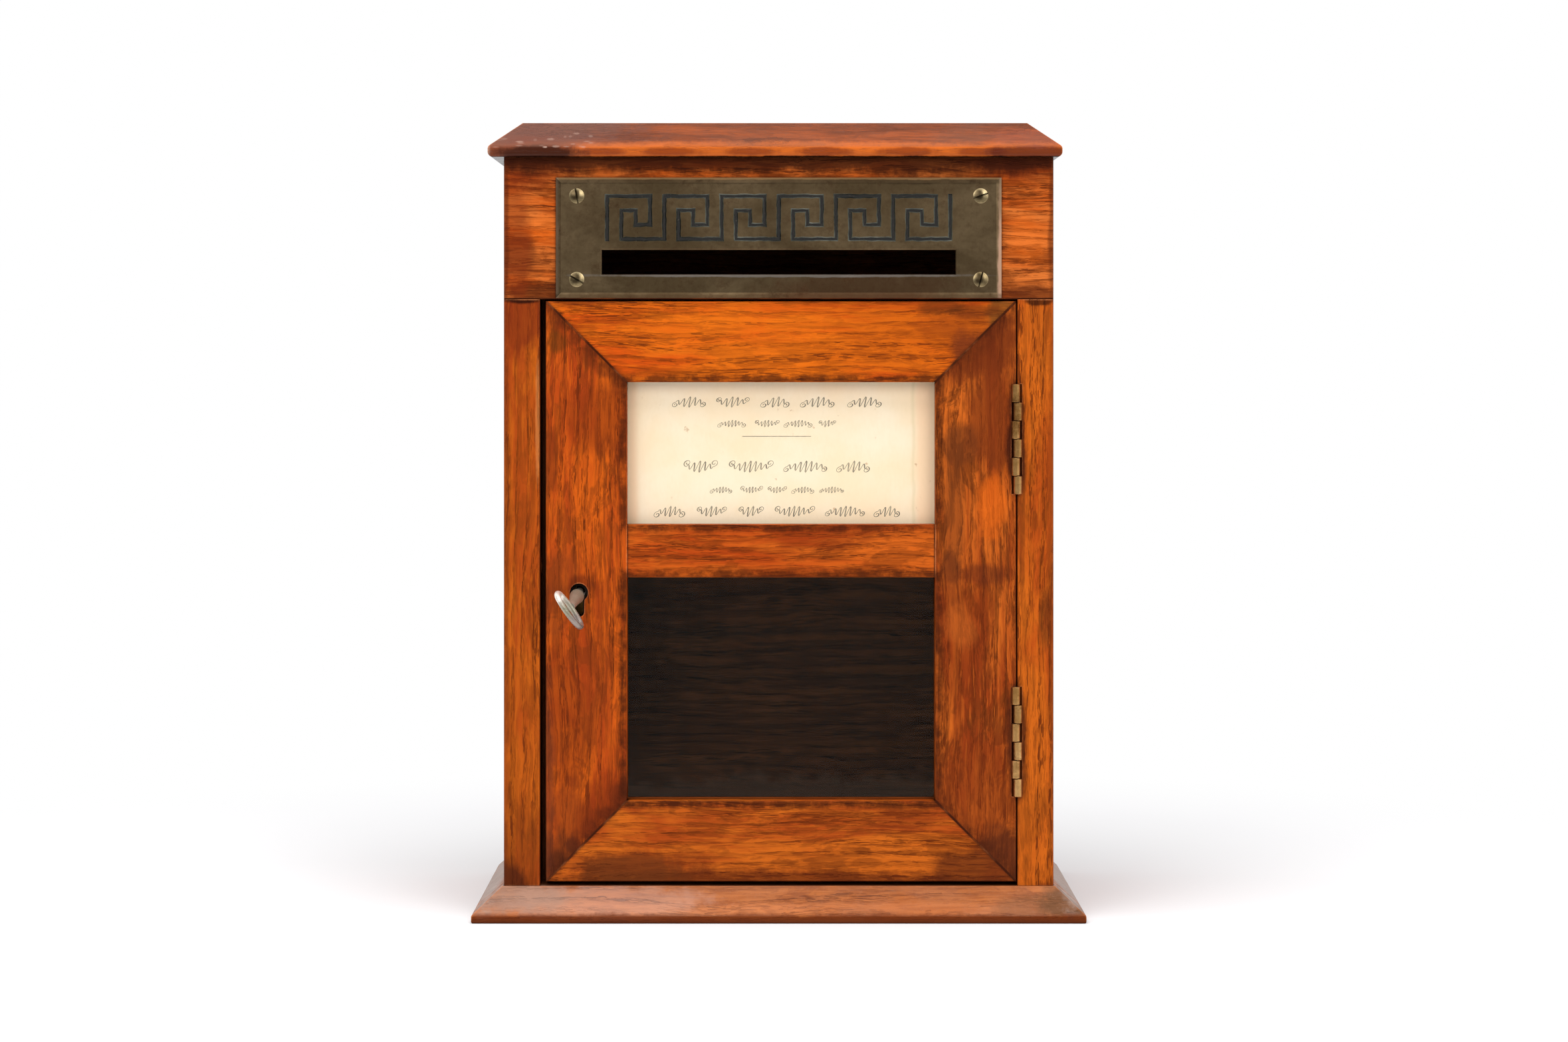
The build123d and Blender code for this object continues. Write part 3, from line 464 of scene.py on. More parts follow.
def paper():
    """Cream card, with pinker strips at its sides (toning, and the painted shade of a curl), a painted shade
    line where the right one creases, and a little fox-marking.
    """
    material, tree, shader, place = blank_material("cream_card")
    fibres = noise(tree, place, (900, 900, 500), 4.0, 0.7)
    cloudy = noise(tree, place, (26, 26, 26), 3.0, 0.6)
    colour = mixed(tree, between(tree, cloudy, 0.35, 0.7), "FCEBD6", "FBE3C6")
    across = xyz(tree, place)[0]
    wavering = maths(tree, "ADD", across, times(tree, cloudy, 4 * MM))
    # toning and painted shade: pinker strips where the sides would curl; the card itself is flat
    left_curl_shade = between(tree, wavering, light_left + 8.5 * MM, light_left + 4.5 * MM)
    right_curl_shade = between(tree, wavering, light_right - 8.0 * MM, light_right - 4.0 * MM)
    curl_tone_and_shade = maths(tree, "MAXIMUM", left_curl_shade, right_curl_shade)
    colour = mixed(tree, times(tree, curl_tone_and_shade, 0.9), colour, "FBD8B8")
    # painted shade: a darker line at the crease of the right curl
    crease_shade = maths(tree, "SUBTRACT", wavering, light_right - 7.5 * MM)
    crease_shade = between(tree, maths(tree, "ABSOLUTE", crease_shade), 1.4 * MM, 0.0)
    colour = mixed(tree, times(tree, crease_shade, 0.35), colour, "D8C49A")
    fox = between(tree, noise(tree, place, (210, 210, 210), 3.0, 0.6), 0.70, 0.76)
    colour = mixed(tree, times(tree, fox, 0.5), colour, "B07840")
    colour = mixed(tree, between(tree, fibres, 0.4, 0.7, 0.0, 0.10), colour, "D9C39A")
    rough = between(tree, fibres, 0.2, 0.8, 0.82, 0.95)
    finish_with(tree, shader, colour, rough, fibres, 0.03 * MM)
    return material


def plain_board():
    """Grey-brown strawboard behind the card."""
    material, tree, shader, place = blank_material("straw_board")
    fibres = noise(tree, place, (700, 700, 260), 5.0, 0.75)
    flecks = between(tree, noise(tree, place, (420, 420, 1200), 2.0), 0.62, 0.70)
    colour = mixed(tree, between(tree, fibres, 0.3, 0.7), "A98D62", "8C7350")
    colour = mixed(tree, times(tree, flecks, 0.5), colour, "5E4A30")
    rough = between(tree, fibres, 0.2, 0.8, 0.8, 0.95)
    finish_with(tree, shader, colour, rough, fibres, 0.08 * MM)
    return material


def black_wax():
    """Black wax and old polish in the engraving."""
    material, tree, shader, place = blank_material("black_wax")
    crumbs = noise(tree, place, (900, 900, 900), 4.0, 0.7)
    colour = mixed(tree, between(tree, crumbs, 0.55, 0.75), "14120F", "4A4238")
    rough = between(tree, crumbs, 0.2, 0.8, 0.45, 0.8)
    finish_with(tree, shader, colour, rough, crumbs, 0.10 * MM)
    return material


def pen_ink():
    """Faded grey ink."""
    material, tree, shader, place = blank_material("faded_ink")
    flow = noise(tree, place, (500, 500, 500), 3.0, 0.6)
    colour = mixed(tree, between(tree, flow, 0.35, 0.65), "7F7568", "A89C88")
    rough = between(tree, flow, 0.2, 0.8, 0.7, 0.9)
    finish_with(tree, shader, colour, rough, flow, 0.01 * MM)
    return material


def wear_to(name, material):
    """A CAD node takes one material all over."""
    slots = nodes[name].data.materials
    slots.clear()
    slots.append(material)


# ---- Joints and openings of the boards ----
def mitre(x, z, slope):
    """The plane of a mitre: the point at its outer end, and a direction square to it."""
    return Vector((x, 0, z)), Vector((1, 0, slope)).normalized()


MITRE = {
    "left foot": mitre(lock_stile_low.x, lock_stile_low.z, -1),
    "left top": mitre(lock_stile_low.x, lock_stile_high.z, 1),
    "right foot": mitre(hinge_stile_high.x, hinge_stile_low.z, 1),
    "right top": mitre(hinge_stile_high.x, hinge_stile_high.z, -1),
}


def mitred(corners, shade):
    """Joint lines for an oak: its mitres, each shaded over some mm."""
    return [(*MITRE[corner], shade * MM) for corner in corners]


def sight(foot, top):
    """Two corners of a light between the stiles."""
    return Vector((light_left, 0, foot)), Vector((light_right, 0, top))


LOWER_SIGHT = sight(bottom_rail_high.z, middle_rail_low.z)
UPPER_SIGHT = sight(middle_rail_high.z, top_rail_low.z)
FASCIA_JOINT = (Vector((0, 0, fascia_low.z)), Vector((0, 0, 1)), 1.5 * MM)
TENON_JOINTS = [(Vector((x, 0, 0)), Vector((1, 0, 0)), 1.6 * MM) for x in (light_left, light_right)]

# ---- Places and tints of the stains, in mm ----
FRONT = front_y / MM
KEY_PLACE = (-92.3, FRONT + 2.6, 148.9)  # the keyhole, just under the stile's face
FASCIA_TOP, FASCIA_FOOT = fascia_high.z / MM, fascia_low.z / MM
DOOR_FOOT = bottom_rail_low.z / MM
DOOR_LEFT, DOOR_TOP = lock_stile_low.x / MM, lock_stile_high.z / MM
LIGHT_LEFT, LIGHT_TOP = light_left / MM, top_rail_low.z / MM
LIGHT_FOOT = bottom_rail_high.z / MM
ROOF_FRONT, ROOF_FOOT, ROOF_TOP = roof_low.y / MM, roof_low.z / MM, roof_high.z / MM
BASE_FRONT = base_low.y / MM
STAIN_DEPTH = 40  # how far a stain on the front reaches into the wood
MITRE_STAINS = 5  # along each mitre that has any
NOSE_SPECKS = 26  # pale worn specks on the left end of the top board's nose
SPECKS_LEFT, SPECKS_RIGHT = -137, -86
NOSE_DASHES = (-82, -50, -14, 22, 60, 92)  # short dark marks along that nose
DEEP_RED = "6A2408"
DARKENING = "34140A"  # darker round the hinges and at the left side's foot
BARE_OAK = "8A7A6A"  # dulls the colour of a board where it has no varnish
SIDE_FACE, SIDE_BARE = 110.6 * MM, 110.3 * MM  # varnish ends between them, on the sides' inner faces
INNER_BACK = back_low.y / MM
BACK_STREAKS = (  # paler streaks inside the back panel: X, Z, half length, half height, strength
    (48, 140, 34, 2.0, 0.40),
    (66, 127, 28, 1.5, 0.55),
    (18, 119, 36, 1.6, 0.35),
    (58, 103, 40, 2.6, 0.50),
    (26, 92, 38, 1.4, 0.45),
    (70, 81, 30, 2.0, 0.35),
    (34, 66, 50, 1.8, 0.30),
)
HINGE_X = hinge_stile_high.x / MM
HINGE_DARKENING = tuple(
    ((HINGE_X, FRONT, (low.z + high.z) / 2 / MM), (5.2, 12, (high.z - low.z) / 1.75 / MM), 0.8, DARKENING)
    for low, high in map(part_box, ("upper_hinge_door_leaf", "lower_hinge_door_leaf"))
)

PLATE_FACE, PLATE_RIGHT = plate_low.y / MM, plate_high.x / MM
PLATE_FOOT, PLATE_TOP = plate_low.z / MM, plate_high.z / MM
SCREW_INSET_X, SCREW_INSET_Z = 9.7, 8.5  # from the plate's edges to the middles of its screws
SLOT_LIFT = 10.8  # from the foot of the plate to the slot


def on_front(x, z, wide, high, strength, stain_tint):
    """A stain on the front of the box, deep enough to colour the edges of a board as well."""
    return (x, FRONT, z), (wide, STAIN_DEPTH, high), strength, stain_tint


def mitre_grime(outer, inner, lift, strength, stain_tint):
    """Brown stains along a mitre, from its outer to its inner end (X, Z), on the stile's side of it."""
    stains = []
    for number in range(MITRE_STAINS):
        share = (number + 0.7) / MITRE_STAINS
        x = outer[0] + (inner[0] - outer[0]) * share
        z = outer[1] + (inner[1] - outer[1]) * share + lift
        wide = 5.5 + 1.5 * math.sin(5 * number)
        high = 5.5 + 1.5 * math.cos(3 * number)
        stains.append(on_front(x, z, wide, high, strength, stain_tint))
    return stains


def nose_specks():
    """Small pale specks scattered over the left end of the top board's front slope."""
    rng = random.Random(5)
    specks = []
    for _ in range(NOSE_SPECKS):
        x = rng.uniform(SPECKS_LEFT, SPECKS_RIGHT)
        rise = 4.5 + 7 * rng.random() ** 2
        size = (rng.uniform(0.9, 2.4), 5, rng.uniform(0.4, 0.8))
        specks.append(((x, ROOF_FRONT + rise - 2, ROOF_FOOT + rise), size, rng.uniform(0.15, 0.4), "C0A090"))
    return specks


# ---- What each piece is made of ----
oaks = {
    "base_board": oak(
        "oak_base", "x", (0, -60, -40), light="B46630", middle="A05521", dark="77340D", patches=0.5,
        dust_and_sheen_amount=0.28, dust_and_sheen_tint="A88068", gloss=0.09,
        stains=(
            # painted highlight: a pale line along the top of the nose
            ((0, BASE_FRONT + 3, 6), (400, 7, 3.4), 0.22, "E8905C"),
            # painted sheen: a pale pinkish-grey patch on the slope, as if it reflected the light above
            ((-82, BASE_FRONT + 7, 9), (52, 16, 9), 0.3, "C8A89B"),
            ((70, BASE_FRONT + 4, 6.5), (66, 12, 5), 0.3, "A0562A"),
            # painted sheen: a grey patch at the slope's left end, as if it reflected the light above
            ((-126, BASE_FRONT + 9, 11), (34, 14, 10), 0.6, "947A6C"),
            ((113, BASE_FRONT + 4, 6), (17, 14, 8), 0.6, "6E3C1A"),
            ((132, BASE_FRONT + 8, 8), (14, 18, 10), 0.9, "543010"),
            # painted reflection: grey-white on the end slopes, as if they reflected the bright background at
            # a grazing angle
            *(((side * 136, 20, 9), (11, 100, 14), 0.85, "A4968E") for side in (-1, 1)),
            ((0, BASE_FRONT, 1.2), (400, 7, 3.6), 0.9, "682A06"),
        ),
    ),
    "top_board": oak(
        "oak_top", "x", (-30, -50, 330), light="9A4718", middle="7A3610", dark="4D2109", dust_and_sheen_amount=0.6,
        dust_and_sheen_tint="6C4636", rubbed_and_highlit="F08A44", roughness=0.14, gloss=0.14,
        stains=(
            # painted sheen: a mauve-grey film at the left of the slope, as if the varnish reflected the sky
            ((-118, ROOF_FRONT + 40, ROOF_TOP), (62, 90, 40), 0.75, "60403A"),
            ((0, ROOF_FRONT - 1, ROOF_FOOT + 3), (300, 6, 7), 0.5, "E87428"),
            *(
                ((x, ROOF_FRONT, ROOF_FOOT + 2.4), (13 + x % 7, 8, 2.2), 0.75, "7A3010")
                for x in NOSE_DASHES
            ),
            ((-116, ROOF_FRONT, ROOF_FOOT + 4), (30, 12, 9), 0.8, "6A382A"),
            ((-112, ROOF_FRONT, ROOF_FOOT + 1.6), (27, 8, 4.4), 0.9, "33160C"),
            *nose_specks(),
            # painted highlight: a pale tip at the left end of the nose
            ((-141, ROOF_FRONT + 4, ROOF_FOOT + 4), (9, 12, 8), 0.75, "E2B8A0"),
            ((118, ROOF_FRONT, ROOF_FOOT + 2), (26, 8, 3.6), 0.8, "4E1C12"),
            ((120, ROOF_FRONT + 6, ROOF_FOOT + 9), (28, 12, 6), 0.25, "A05040"),
            # painted shade: the whole underside of the top board darkened nearly to black, as if in shadow
            ((0, 0, ROOF_FOOT - 0.4), (400, 400, 1.0), 1.0, "1C0A04"),
        ),
    ),
    "fascia_board": oak(
        "oak_fascia", "x", (-12, -50, 250), light="C6682A", middle="B24A0C", dark="6A2C06",
        streaks=0.7, pores=0.95, patches=0.5,
        stains=(
            on_front(-118, FASCIA_TOP, 26, 16, 0.6, DEEP_RED),
            on_front(116, FASCIA_TOP, 30, 12, 0.6, DEEP_RED),
            on_front(-120, FASCIA_FOOT + 20, 10, 10, 0.55, "4A1A06"),
            on_front(-108, FASCIA_FOOT + 3, 26, 6, 0.75, "3A1404"),
            on_front(114, FASCIA_FOOT + 2, 22, 5, 0.7, "4A1A06"),
            on_front(-108, FASCIA_FOOT + 33, 9, 7, 0.25, "E86C1A"),
            on_front(114, FASCIA_FOOT + 28, 11, 12, 0.25, "E86C1A"),
            on_front(-122, FASCIA_FOOT + 30, 8, 40, 0.5, "74280A"),
            # painted shadow of the cornice along the top of the fascia, with some dirt
            on_front(0, FASCIA_TOP + 1, 300, 10, 0.85, "2C0E04"),
            *(on_front(side * 127, 322, 2.6, 60, 0.6, "4A1A06") for side in (-1, 1)),
        ),
        mitres=(FASCIA_JOINT,), inside=("Y", (front_y + 9 * MM, front_y + 12.5 * MM), BARE_OAK),
    ),
    "left_side": oak(
        "oak_left_side", "z", (-65, -45, -20), light="B65811", middle="A0420E", dark="6E3206",
        patches=0.3,
        stains=(
            ((-119, FRONT, FASCIA_FOOT - 8), (14, 14, 18), 0.65, "6A200A"),
            # painted shade: a dark line in the gap under the fascia, at the side's top
            ((-119, FRONT, FASCIA_FOOT), (14, 14, 2.2), 0.9, "1E0A04"),
            ((-127, FRONT, 150), (3, 6, 170), 0.5, "6A2A0A"),
            # painted highlight: a thin light strip down the side's arris by the door
            ((-111.4, FRONT, 231), (1.2, 4, 30), 0.32, "C8864C"),
            on_front(-123.5, 18, 7, 10, 0.85, DARKENING),
            on_front(-120, 30, 14, 22, 0.4, "5A2408"),
        ),
        inside=("X", (-SIDE_FACE, -SIDE_BARE), BARE_OAK),
    ),
    "right_side": oak(
        "oak_right_side", "z", (170, -40, -20), light="C05D14", middle="AA460F", dark="6E3408",
        patches=0.3,
        stains=(
            # painted shade: a dark line in the gap under the fascia, at the side's top
            ((121, FRONT, FASCIA_FOOT - 0.4), (9, 14, 2.4), 0.8, "1E0A04"),
            on_front(123.5, 138, 3.4, 15, 0.55, "52280C"),
            on_front(112.5, 190, 1.4, 60, 0.4, "5A260A"),
            ((127, FRONT, 160), (3, 6, 170), 0.5, "6A2A0A"),
            on_front(122, 12, 8, 5, 0.6, "6A200A"),
            *HINGE_DARKENING,
        ),
        inside=("X", (SIDE_FACE, SIDE_BARE), BARE_OAK),
    ),
    "door_top_rail": oak(
        "oak_top_rail", "x", (12, -40, 215), light="CE620E", middle="C24A0A", dark="7A3404",
        streaks=0.55, mitres=mitred(("left top", "right top"), 2.0), sights=(UPPER_SIGHT,),
        stains=(
            on_front(-16, 275, 48, 20, 0.2, "E87414"),
            on_front(58, 272, 34, 24, 0.26, "983F08"),
            on_front(90, 274, 24, 10, 0.5, "8A3C0C"),
            on_front(94, 262, 15, 12, 0.9, "6E2E10"),
            on_front(103, 280, 9, 10, 0.75, "6A4016"),
            on_front(92, 281, 13, 4, 0.6, "5E260A"),
            on_front(75, 283, 11, 4, 0.6, "55280A"),
            on_front(-92, 289, 26, 7, 0.55, DEEP_RED),
            on_front(0, 292, 130, 4.5, 0.6, "5E260A"),
        ),
    ),
    "door_middle_rail": oak(
        "oak_middle_rail", "x", (-22, -44, 110), light="C25A16", middle="A83E0C", dark="6E2E06",
        streaks=0.55, patches=0.5, mitres=TENON_JOINTS, sights=(LOWER_SIGHT, UPPER_SIGHT),
        stains=(on_front(20, 176, 26, 6, 0.4, DEEP_RED),),
    ),
    "door_bottom_rail": oak(
        "oak_bottom_rail", "x", (-41, -40, -30), light="BF5F17", middle="A24210", dark="6C3008",
        streaks=0.55, patches=0.5, mitres=mitred(("left foot", "right foot"), 2.0),
        sights=(LOWER_SIGHT,),
        stains=(
            on_front(-62, 25, 34, 8, 0.5, DEEP_RED),
            on_front(60, 46, 20, 6, 0.4, DEEP_RED),
            on_front(-10, DOOR_FOOT, 118, 6, 0.7, "551F08"),
            on_front(-66, DOOR_FOOT + 5, 28, 9, 0.7, "5E2E10"),
            on_front(90, DOOR_FOOT + 4, 22, 12, 0.7, "4A1C0A"),
        ),
    ),
    "door_lock_stile": oak(
        "oak_lock_stile", "z", (-130, -44, -35), light="C75810", middle="A23C0E", dark="662C08",
        streaks=0.55, patches=0.5, mitres=mitred(("left top", "left foot"), 8.0),
        sights=(LOWER_SIGHT, UPPER_SIGHT),
        stains=(
            *mitre_grime((DOOR_LEFT, DOOR_TOP), (LIGHT_LEFT, LIGHT_TOP), -4, 0.55, "5E260A"),
            *mitre_grime((DOOR_LEFT, DOOR_FOOT), (LIGHT_LEFT, LIGHT_FOOT), 4, 0.75, "4A200C"),
            on_front(-102, 267, 5, 6, 0.6, "5A2E08"),
            on_front(-106, 214, 5, 17, 0.6, "6E2C0A"),
            on_front(-97, 48, 12, 17, 0.6, "74300F"),
            on_front(-84, 232, 18, 20, 0.5, DEEP_RED),
            on_front(-78, 46, 20, 26, 0.6, DEEP_RED),
            on_front(-98, 92, 12, 40, 0.5, DEEP_RED),
            on_front(-102, DOOR_FOOT + 6, 13, 20, 0.7, "4A200E"),
            on_front(-107, 60, 4, 60, 0.5, "5A2A18"),
            on_front(-84, 112, 8, 34, 0.4, "7A2E0C"),
            on_front(-100, 161, 9, 12, 0.5, "7C3410"),
            on_front(-103, 141, 7, 14, 0.45, "6E2E12"),
            on_front(-82, 147, 5, 10, 0.45, "84300E"),
            # painted shade: black in the keyhole and round it, above and to the right of the key
            ((-90.6, FRONT, 154), (6.4, 4, 6.4), 0.55, "4A180A"),
            (KEY_PLACE, (4.6, 2.4, 7.4), 1.0, "140804"),
        ),
    ),
    "door_hinge_stile": oak(
        "oak_hinge_stile", "z", (40, -38, -10), light="BE5C1A", middle="8E380E", dark="562608",
        streaks=0.6, patches=0.6, mitres=mitred(("right top", "right foot"), 8.0),
        sights=(LOWER_SIGHT, UPPER_SIGHT),
        stains=(
            on_front(92, 268, 26, 20, 0.85, "60240A"),
            on_front(98, 232, 13, 30, 0.75, "6E2C0C"),
            on_front(84, 218, 9, 12, 0.6, "5A2A10"),
            on_front(81, 190, 5, 46, 0.5, "6A3212"),
            on_front(98, 191, 8, 15, 0.6, "D25E12"),
            on_front(96, 159, 13, 6, 0.6, "5A240E"),
            on_front(80, 162, 5, 9, 0.6, "4A200E"),
            on_front(84, 134, 8, 11, 0.45, "CE6824"),
            on_front(84, 126, 16, 36, 0.35, DEEP_RED),
            on_front(92, 58, 22, 34, 0.5, DEEP_RED),
            on_front(102, DOOR_FOOT + 8, 15, 20, 0.75, "4A200E"),
            *HINGE_DARKENING,
        ),
    ),
    "back_panel": oak(
        "oak_back", "x", (-8, -10, 180), light="A0683A", middle="7E4C28", dark="4A2A14",
        pore="34200F", streaks=0.6, patches=0.3, rubbed_and_highlit="9A6A40", roughness=0.5, gloss=0.03,
        stains=(
            ((-110, INNER_BACK, 110), (64, 1.5, 80), 0.5, "24120A"),
            ((10, INNER_BACK, 40), (110, 1.5, 11), 0.45, "B49E8C"),
            *(
                ((x, INNER_BACK, z), (long, 1.5, high), strength, "B47840")
                for x, z, long, high, strength in BACK_STREAKS
            ),
        ),
        inside=("Y", (back_low.y + 2 * MM, back_low.y + 1 * MM), "7E6A5E"),
    ),
    "top_battens": oak(
        "oak_battens", "y", (40, 12, 20), light="A9683A", middle="87502A", roughness=0.5, gloss=0.1
    ),
    "door_stop": oak(
        "oak_stop", "z", (90, 42, 5), light="8A4E26", middle="6C3A1A", roughness=0.45, gloss=0.1
    ),
}
for board_name, board_oak in oaks.items():
    wear_to(board_name, board_oak)
bead_oaks = {
    "x": oak("oak_beads_across", "x", (5, 30, -60), light="A65424", middle="84401A", roughness=0.4),
    "z": oak("oak_beads_upright", "z", (25, 33, 15), light="A65424", middle="84401A", roughness=0.4),
}
for light_name in ("lower", "upper"):
    for bead_place, bead_grain in (("left", "z"), ("right", "z"), ("top", "x"), ("bottom", "x")):
        wear_to(f"{light_name}_{bead_place}_bead", bead_oaks[bead_grain])

letter_brass = metal(
    "letter_brass", "927C5C", "6C5A40", "4C3624", 0.6, 0.08, 0.32, "16100A",
    stains=(
        # painted reflection: the top bevel darkened as if it mirrored the shaded cornice
        ((0, PLATE_FACE, PLATE_TOP - 1.6), (300, 20, 1.6), 0.5, "3C2E20"),
        # painted highlight: a light line along the plate's top edge
        ((0, PLATE_FACE, PLATE_TOP), (300, 20, 1.1), 0.8, "A88258"),
        # painted highlight: a light line down the left bevel
        ((-PLATE_RIGHT, PLATE_FACE, (PLATE_TOP + PLATE_FOOT) / 2), (1.5, 20, 70), 0.7, "A48C72"),
        # painted reflection: the right bevel pinkish where it mirrors the oak, dimmer near the top
        ((PLATE_RIGHT, PLATE_FACE, PLATE_FOOT + 20), (1.9, 20, 42), 0.9, "D8AE92"),
        ((PLATE_RIGHT, PLATE_FACE, PLATE_TOP - 8), (1.7, 20, 16), 0.6, "8E785C"),
        ((0, PLATE_FACE, PLATE_FOOT), (300, 20, 2.0), 0.55, "54402C"),
        ((40, PLATE_FACE, PLATE_FOOT + 5), (50, 20, 8), 0.45, "5E3A26"),
        # painted highlight: a pale grey line along the slot's lower lip
        ((0, PLATE_FACE, PLATE_FOOT + SLOT_LIFT - 0.4), (98, 4, 1.0), 0.6, "B0AAA2"),
    ),
)
screw_brass = metal(
    "screw_brass", "D6C092", "8C764E", "483420", 0.5, 0.2, 0.26, "0E0804",
    stains=[
        ((side * (PLATE_RIGHT - SCREW_INSET_X) - 0.7, PLATE_FACE, z + 0.6), (2.4, 8, 2.6), 0.8, "3C2C1C")
        for side in (-1, 1)
        for z in (PLATE_FOOT + SCREW_INSET_Z, PLATE_TOP - SCREW_INSET_Z)
    ],
)
cut_brass = metal("cut_brass", "8E9084", "32332D", "181714", 0.6, 0.4, 0.34, "101010")
hinge_brass = metal("hinge_brass", "EABC7E", "B88A50", "64401A", 0.75, 0.3, 0.32, "200E04")
lock_brass = metal(
    "lock_brass", "D2B36E", "B0904E", "6A4E2A", 0.4, 0.4, 0.26, "1E140A",
    # painted shade: the lock plate darkened behind the keyhole
    stains=(((KEY_PLACE[0], lock_plate_low.y / MM, KEY_PLACE[2]), (10, 1.2, 12), 1.0, "0C0804"),),
)
lock_iron = metal("lock_iron", "4A4038", "2C2620", "1C140E", 0.7, 0.2, 0.42, "080604", 0.7)
key_steel = metal(
    "key_steel", "E2DACB", "A69C8C", "665C4C", 0.65, 0.5, 0.28, "1E1812", 0.65,
    stains=(
        ((-91.5, -96, 139), (6, 14, 6), 0.7, "867672"),
        ((-95.5, -95, 145), (5, 12, 4), 0.45, "8A8868"),
        # painted highlight: a near-white glint on the upper end of the bow
        ((-100.4, -95, 150.8), (3, 12, 3.4), 0.85, "FFF8EE"),
        ((-93, -78, 150), (8, 12, 8), 0.6, "A29A82"),
    ),
)
screw_steel = metal("screw_steel", "9A938A", "6E665C", "4A3828", 0.7, 0.3, 0.34, "16110C")
old_glass = clear_glass()
cream_card = paper()
straw_board = plain_board()
engraving_wax = black_wax()
faded_ink = pen_ink()

for material, names in {
    letter_brass: ("letter_plate",),
    screw_brass: ("letter_plate_screws",),
    hinge_brass: (
        *(f"{hinge}_hinge_{side}_leaf" for hinge in ("lower", "upper") for side in ("case", "door")),
        *("hinge_case_screws", "hinge_door_screws"),
    ),
    lock_brass: ("lock_plate", "lock_screws", "lock_bolt", "bolt_spring"),
    lock_iron: ("lock_case",),
    key_steel: ("key",),
    screw_steel: ("back_panel_screws", "base_screws", "lower_hinge_pin", "upper_hinge_pin"),
    cream_card: ("notice_card",),
    straw_board: ("card_backing",),
}.items():
    for name in names:
        wear_to(name, material)


# ---- Meshes ----
PANE_INSET = 0.1 * MM
PANE_COLUMNS, PANE_ROWS = 28, 20


def set_out(name, data):
    """A new object in the scene."""
    made = bpy.data.objects.new(name, data)
    bpy.context.scene.collection.objects.link(made)
    return made


def mesh_from(name, shape, materials):
    """A mesh with its materials, made from a bmesh that isn't needed any more."""
    mesh = bpy.data.meshes.new(name)
    shape.to_mesh(mesh)
    shape.free()
    for material in materials:
        mesh.materials.append(material)
    return mesh


def mesh_piece(name, build, body, materials):
    """A new piece: build fills a bmesh, and the piece rides on a body."""
    shape = bmesh.new()
    build(shape)
    bmesh.ops.recalc_face_normals(shape, faces=shape.faces)
    piece = set_out(name, mesh_from(name, shape, materials))
    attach(piece, body)
    return piece


def skin(shape, first, second, closed=False):
    """Faces between two rows of corners, and from the last corner to the first if closed."""
    for place in range(len(first) if closed else len(first) - 1):
        following = (place + 1) % len(first)
        shape.faces.new((first[place], first[following], second[following], second[place]))


def bar(shape, sections):
    """Faces over a bar's sections, one after another, and over its two ends."""
    for first, second in zip(sections, sections[1:]):
        skin(shape, first, second, closed=True)
    shape.faces.new(sections[0])
    shape.faces.new(sections[-1])


def rims(sheet):
    """The four edges of a sheet, which is a list of rows of corners."""
    return sheet[0], sheet[-1], [row[0] for row in sheet], [row[-1] for row in sheet]


def make_pane(name):
    """Glass with the slow waves of old sheet, a little thinner than its rebate."""
    low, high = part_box(name)

    def build(shape):
        rng = random.Random(len(name))
        phase = [rng.uniform(0, math.tau) for _ in range(4)]

        def corner(face_y, inwards, row, column):
            x = low.x + (high.x - low.x) * column / PANE_COLUMNS
            z = low.z + (high.z - low.z) * row / PANE_ROWS
            wave = math.sin(x * 61 + phase[0]) * math.sin(z * 38 + phase[1])
            wave += 0.5 * math.sin(x * 23 - z * 47 + phase[2])
            y = face_y + PANE_INSET * inwards + (0.05 + 0.03 * wave) * MM * inwards
            return shape.verts.new((x, y, z))

        near, far = (
            [
                [corner(face_y, inwards, row, column) for column in range(PANE_COLUMNS + 1)]
                for row in range(PANE_ROWS + 1)
            ]
            for face_y, inwards in ((low.y, 1), (high.y, -1))
        )
        for sheet in (near, far):
            for first, second in zip(sheet, sheet[1:]):
                skin(shape, first, second)
        for first, second in zip(rims(near), rims(far)):
            skin(shape, first, second)

    pane = mesh_piece(f"{name}_pane", build, "door", [old_glass])
    for face in pane.data.polygons:
        face.use_smooth = abs(face.normal.y) > 0.9
    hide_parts(name)


for pane_name in ("lower_glass", "upper_glass"):
    make_pane(pane_name)


# ---- Engraving on the plate: a running key pattern, cut by hand and filled with black wax ----
engraving_step = 6.6 * MM
engraving_units = 6
engraving_rise = 27.2 * MM  # from the plate's foot to the lowest cut
cut_width = 2.1 * MM
cut_depth = 0.45 * MM
cut_slope = 0.55 * MM  # how much narrower each side of a cut is at its floor
cut_wobble = 0.19 * MM
cut_length = 2.2 * MM  # from one wobble of the graver to the next
engraved_materials = (letter_brass, engraving_wax, cut_brass)  # the face, a cut's floor, its sides


def key_pattern():
    """The corners of the pattern's line, in steps: up, over, back on itself and on to the next."""
    unit = [(0, 0), (0, 3), (3, 3), (3, 1), (2, 1), (2, 2), (1, 2), (1, 0)]
    corners = [(4 * number + x, z) for number in range(engraving_units) for x, z in unit]
    end = 4 * engraving_units
    return corners + [(end, 0), (end, 3)]


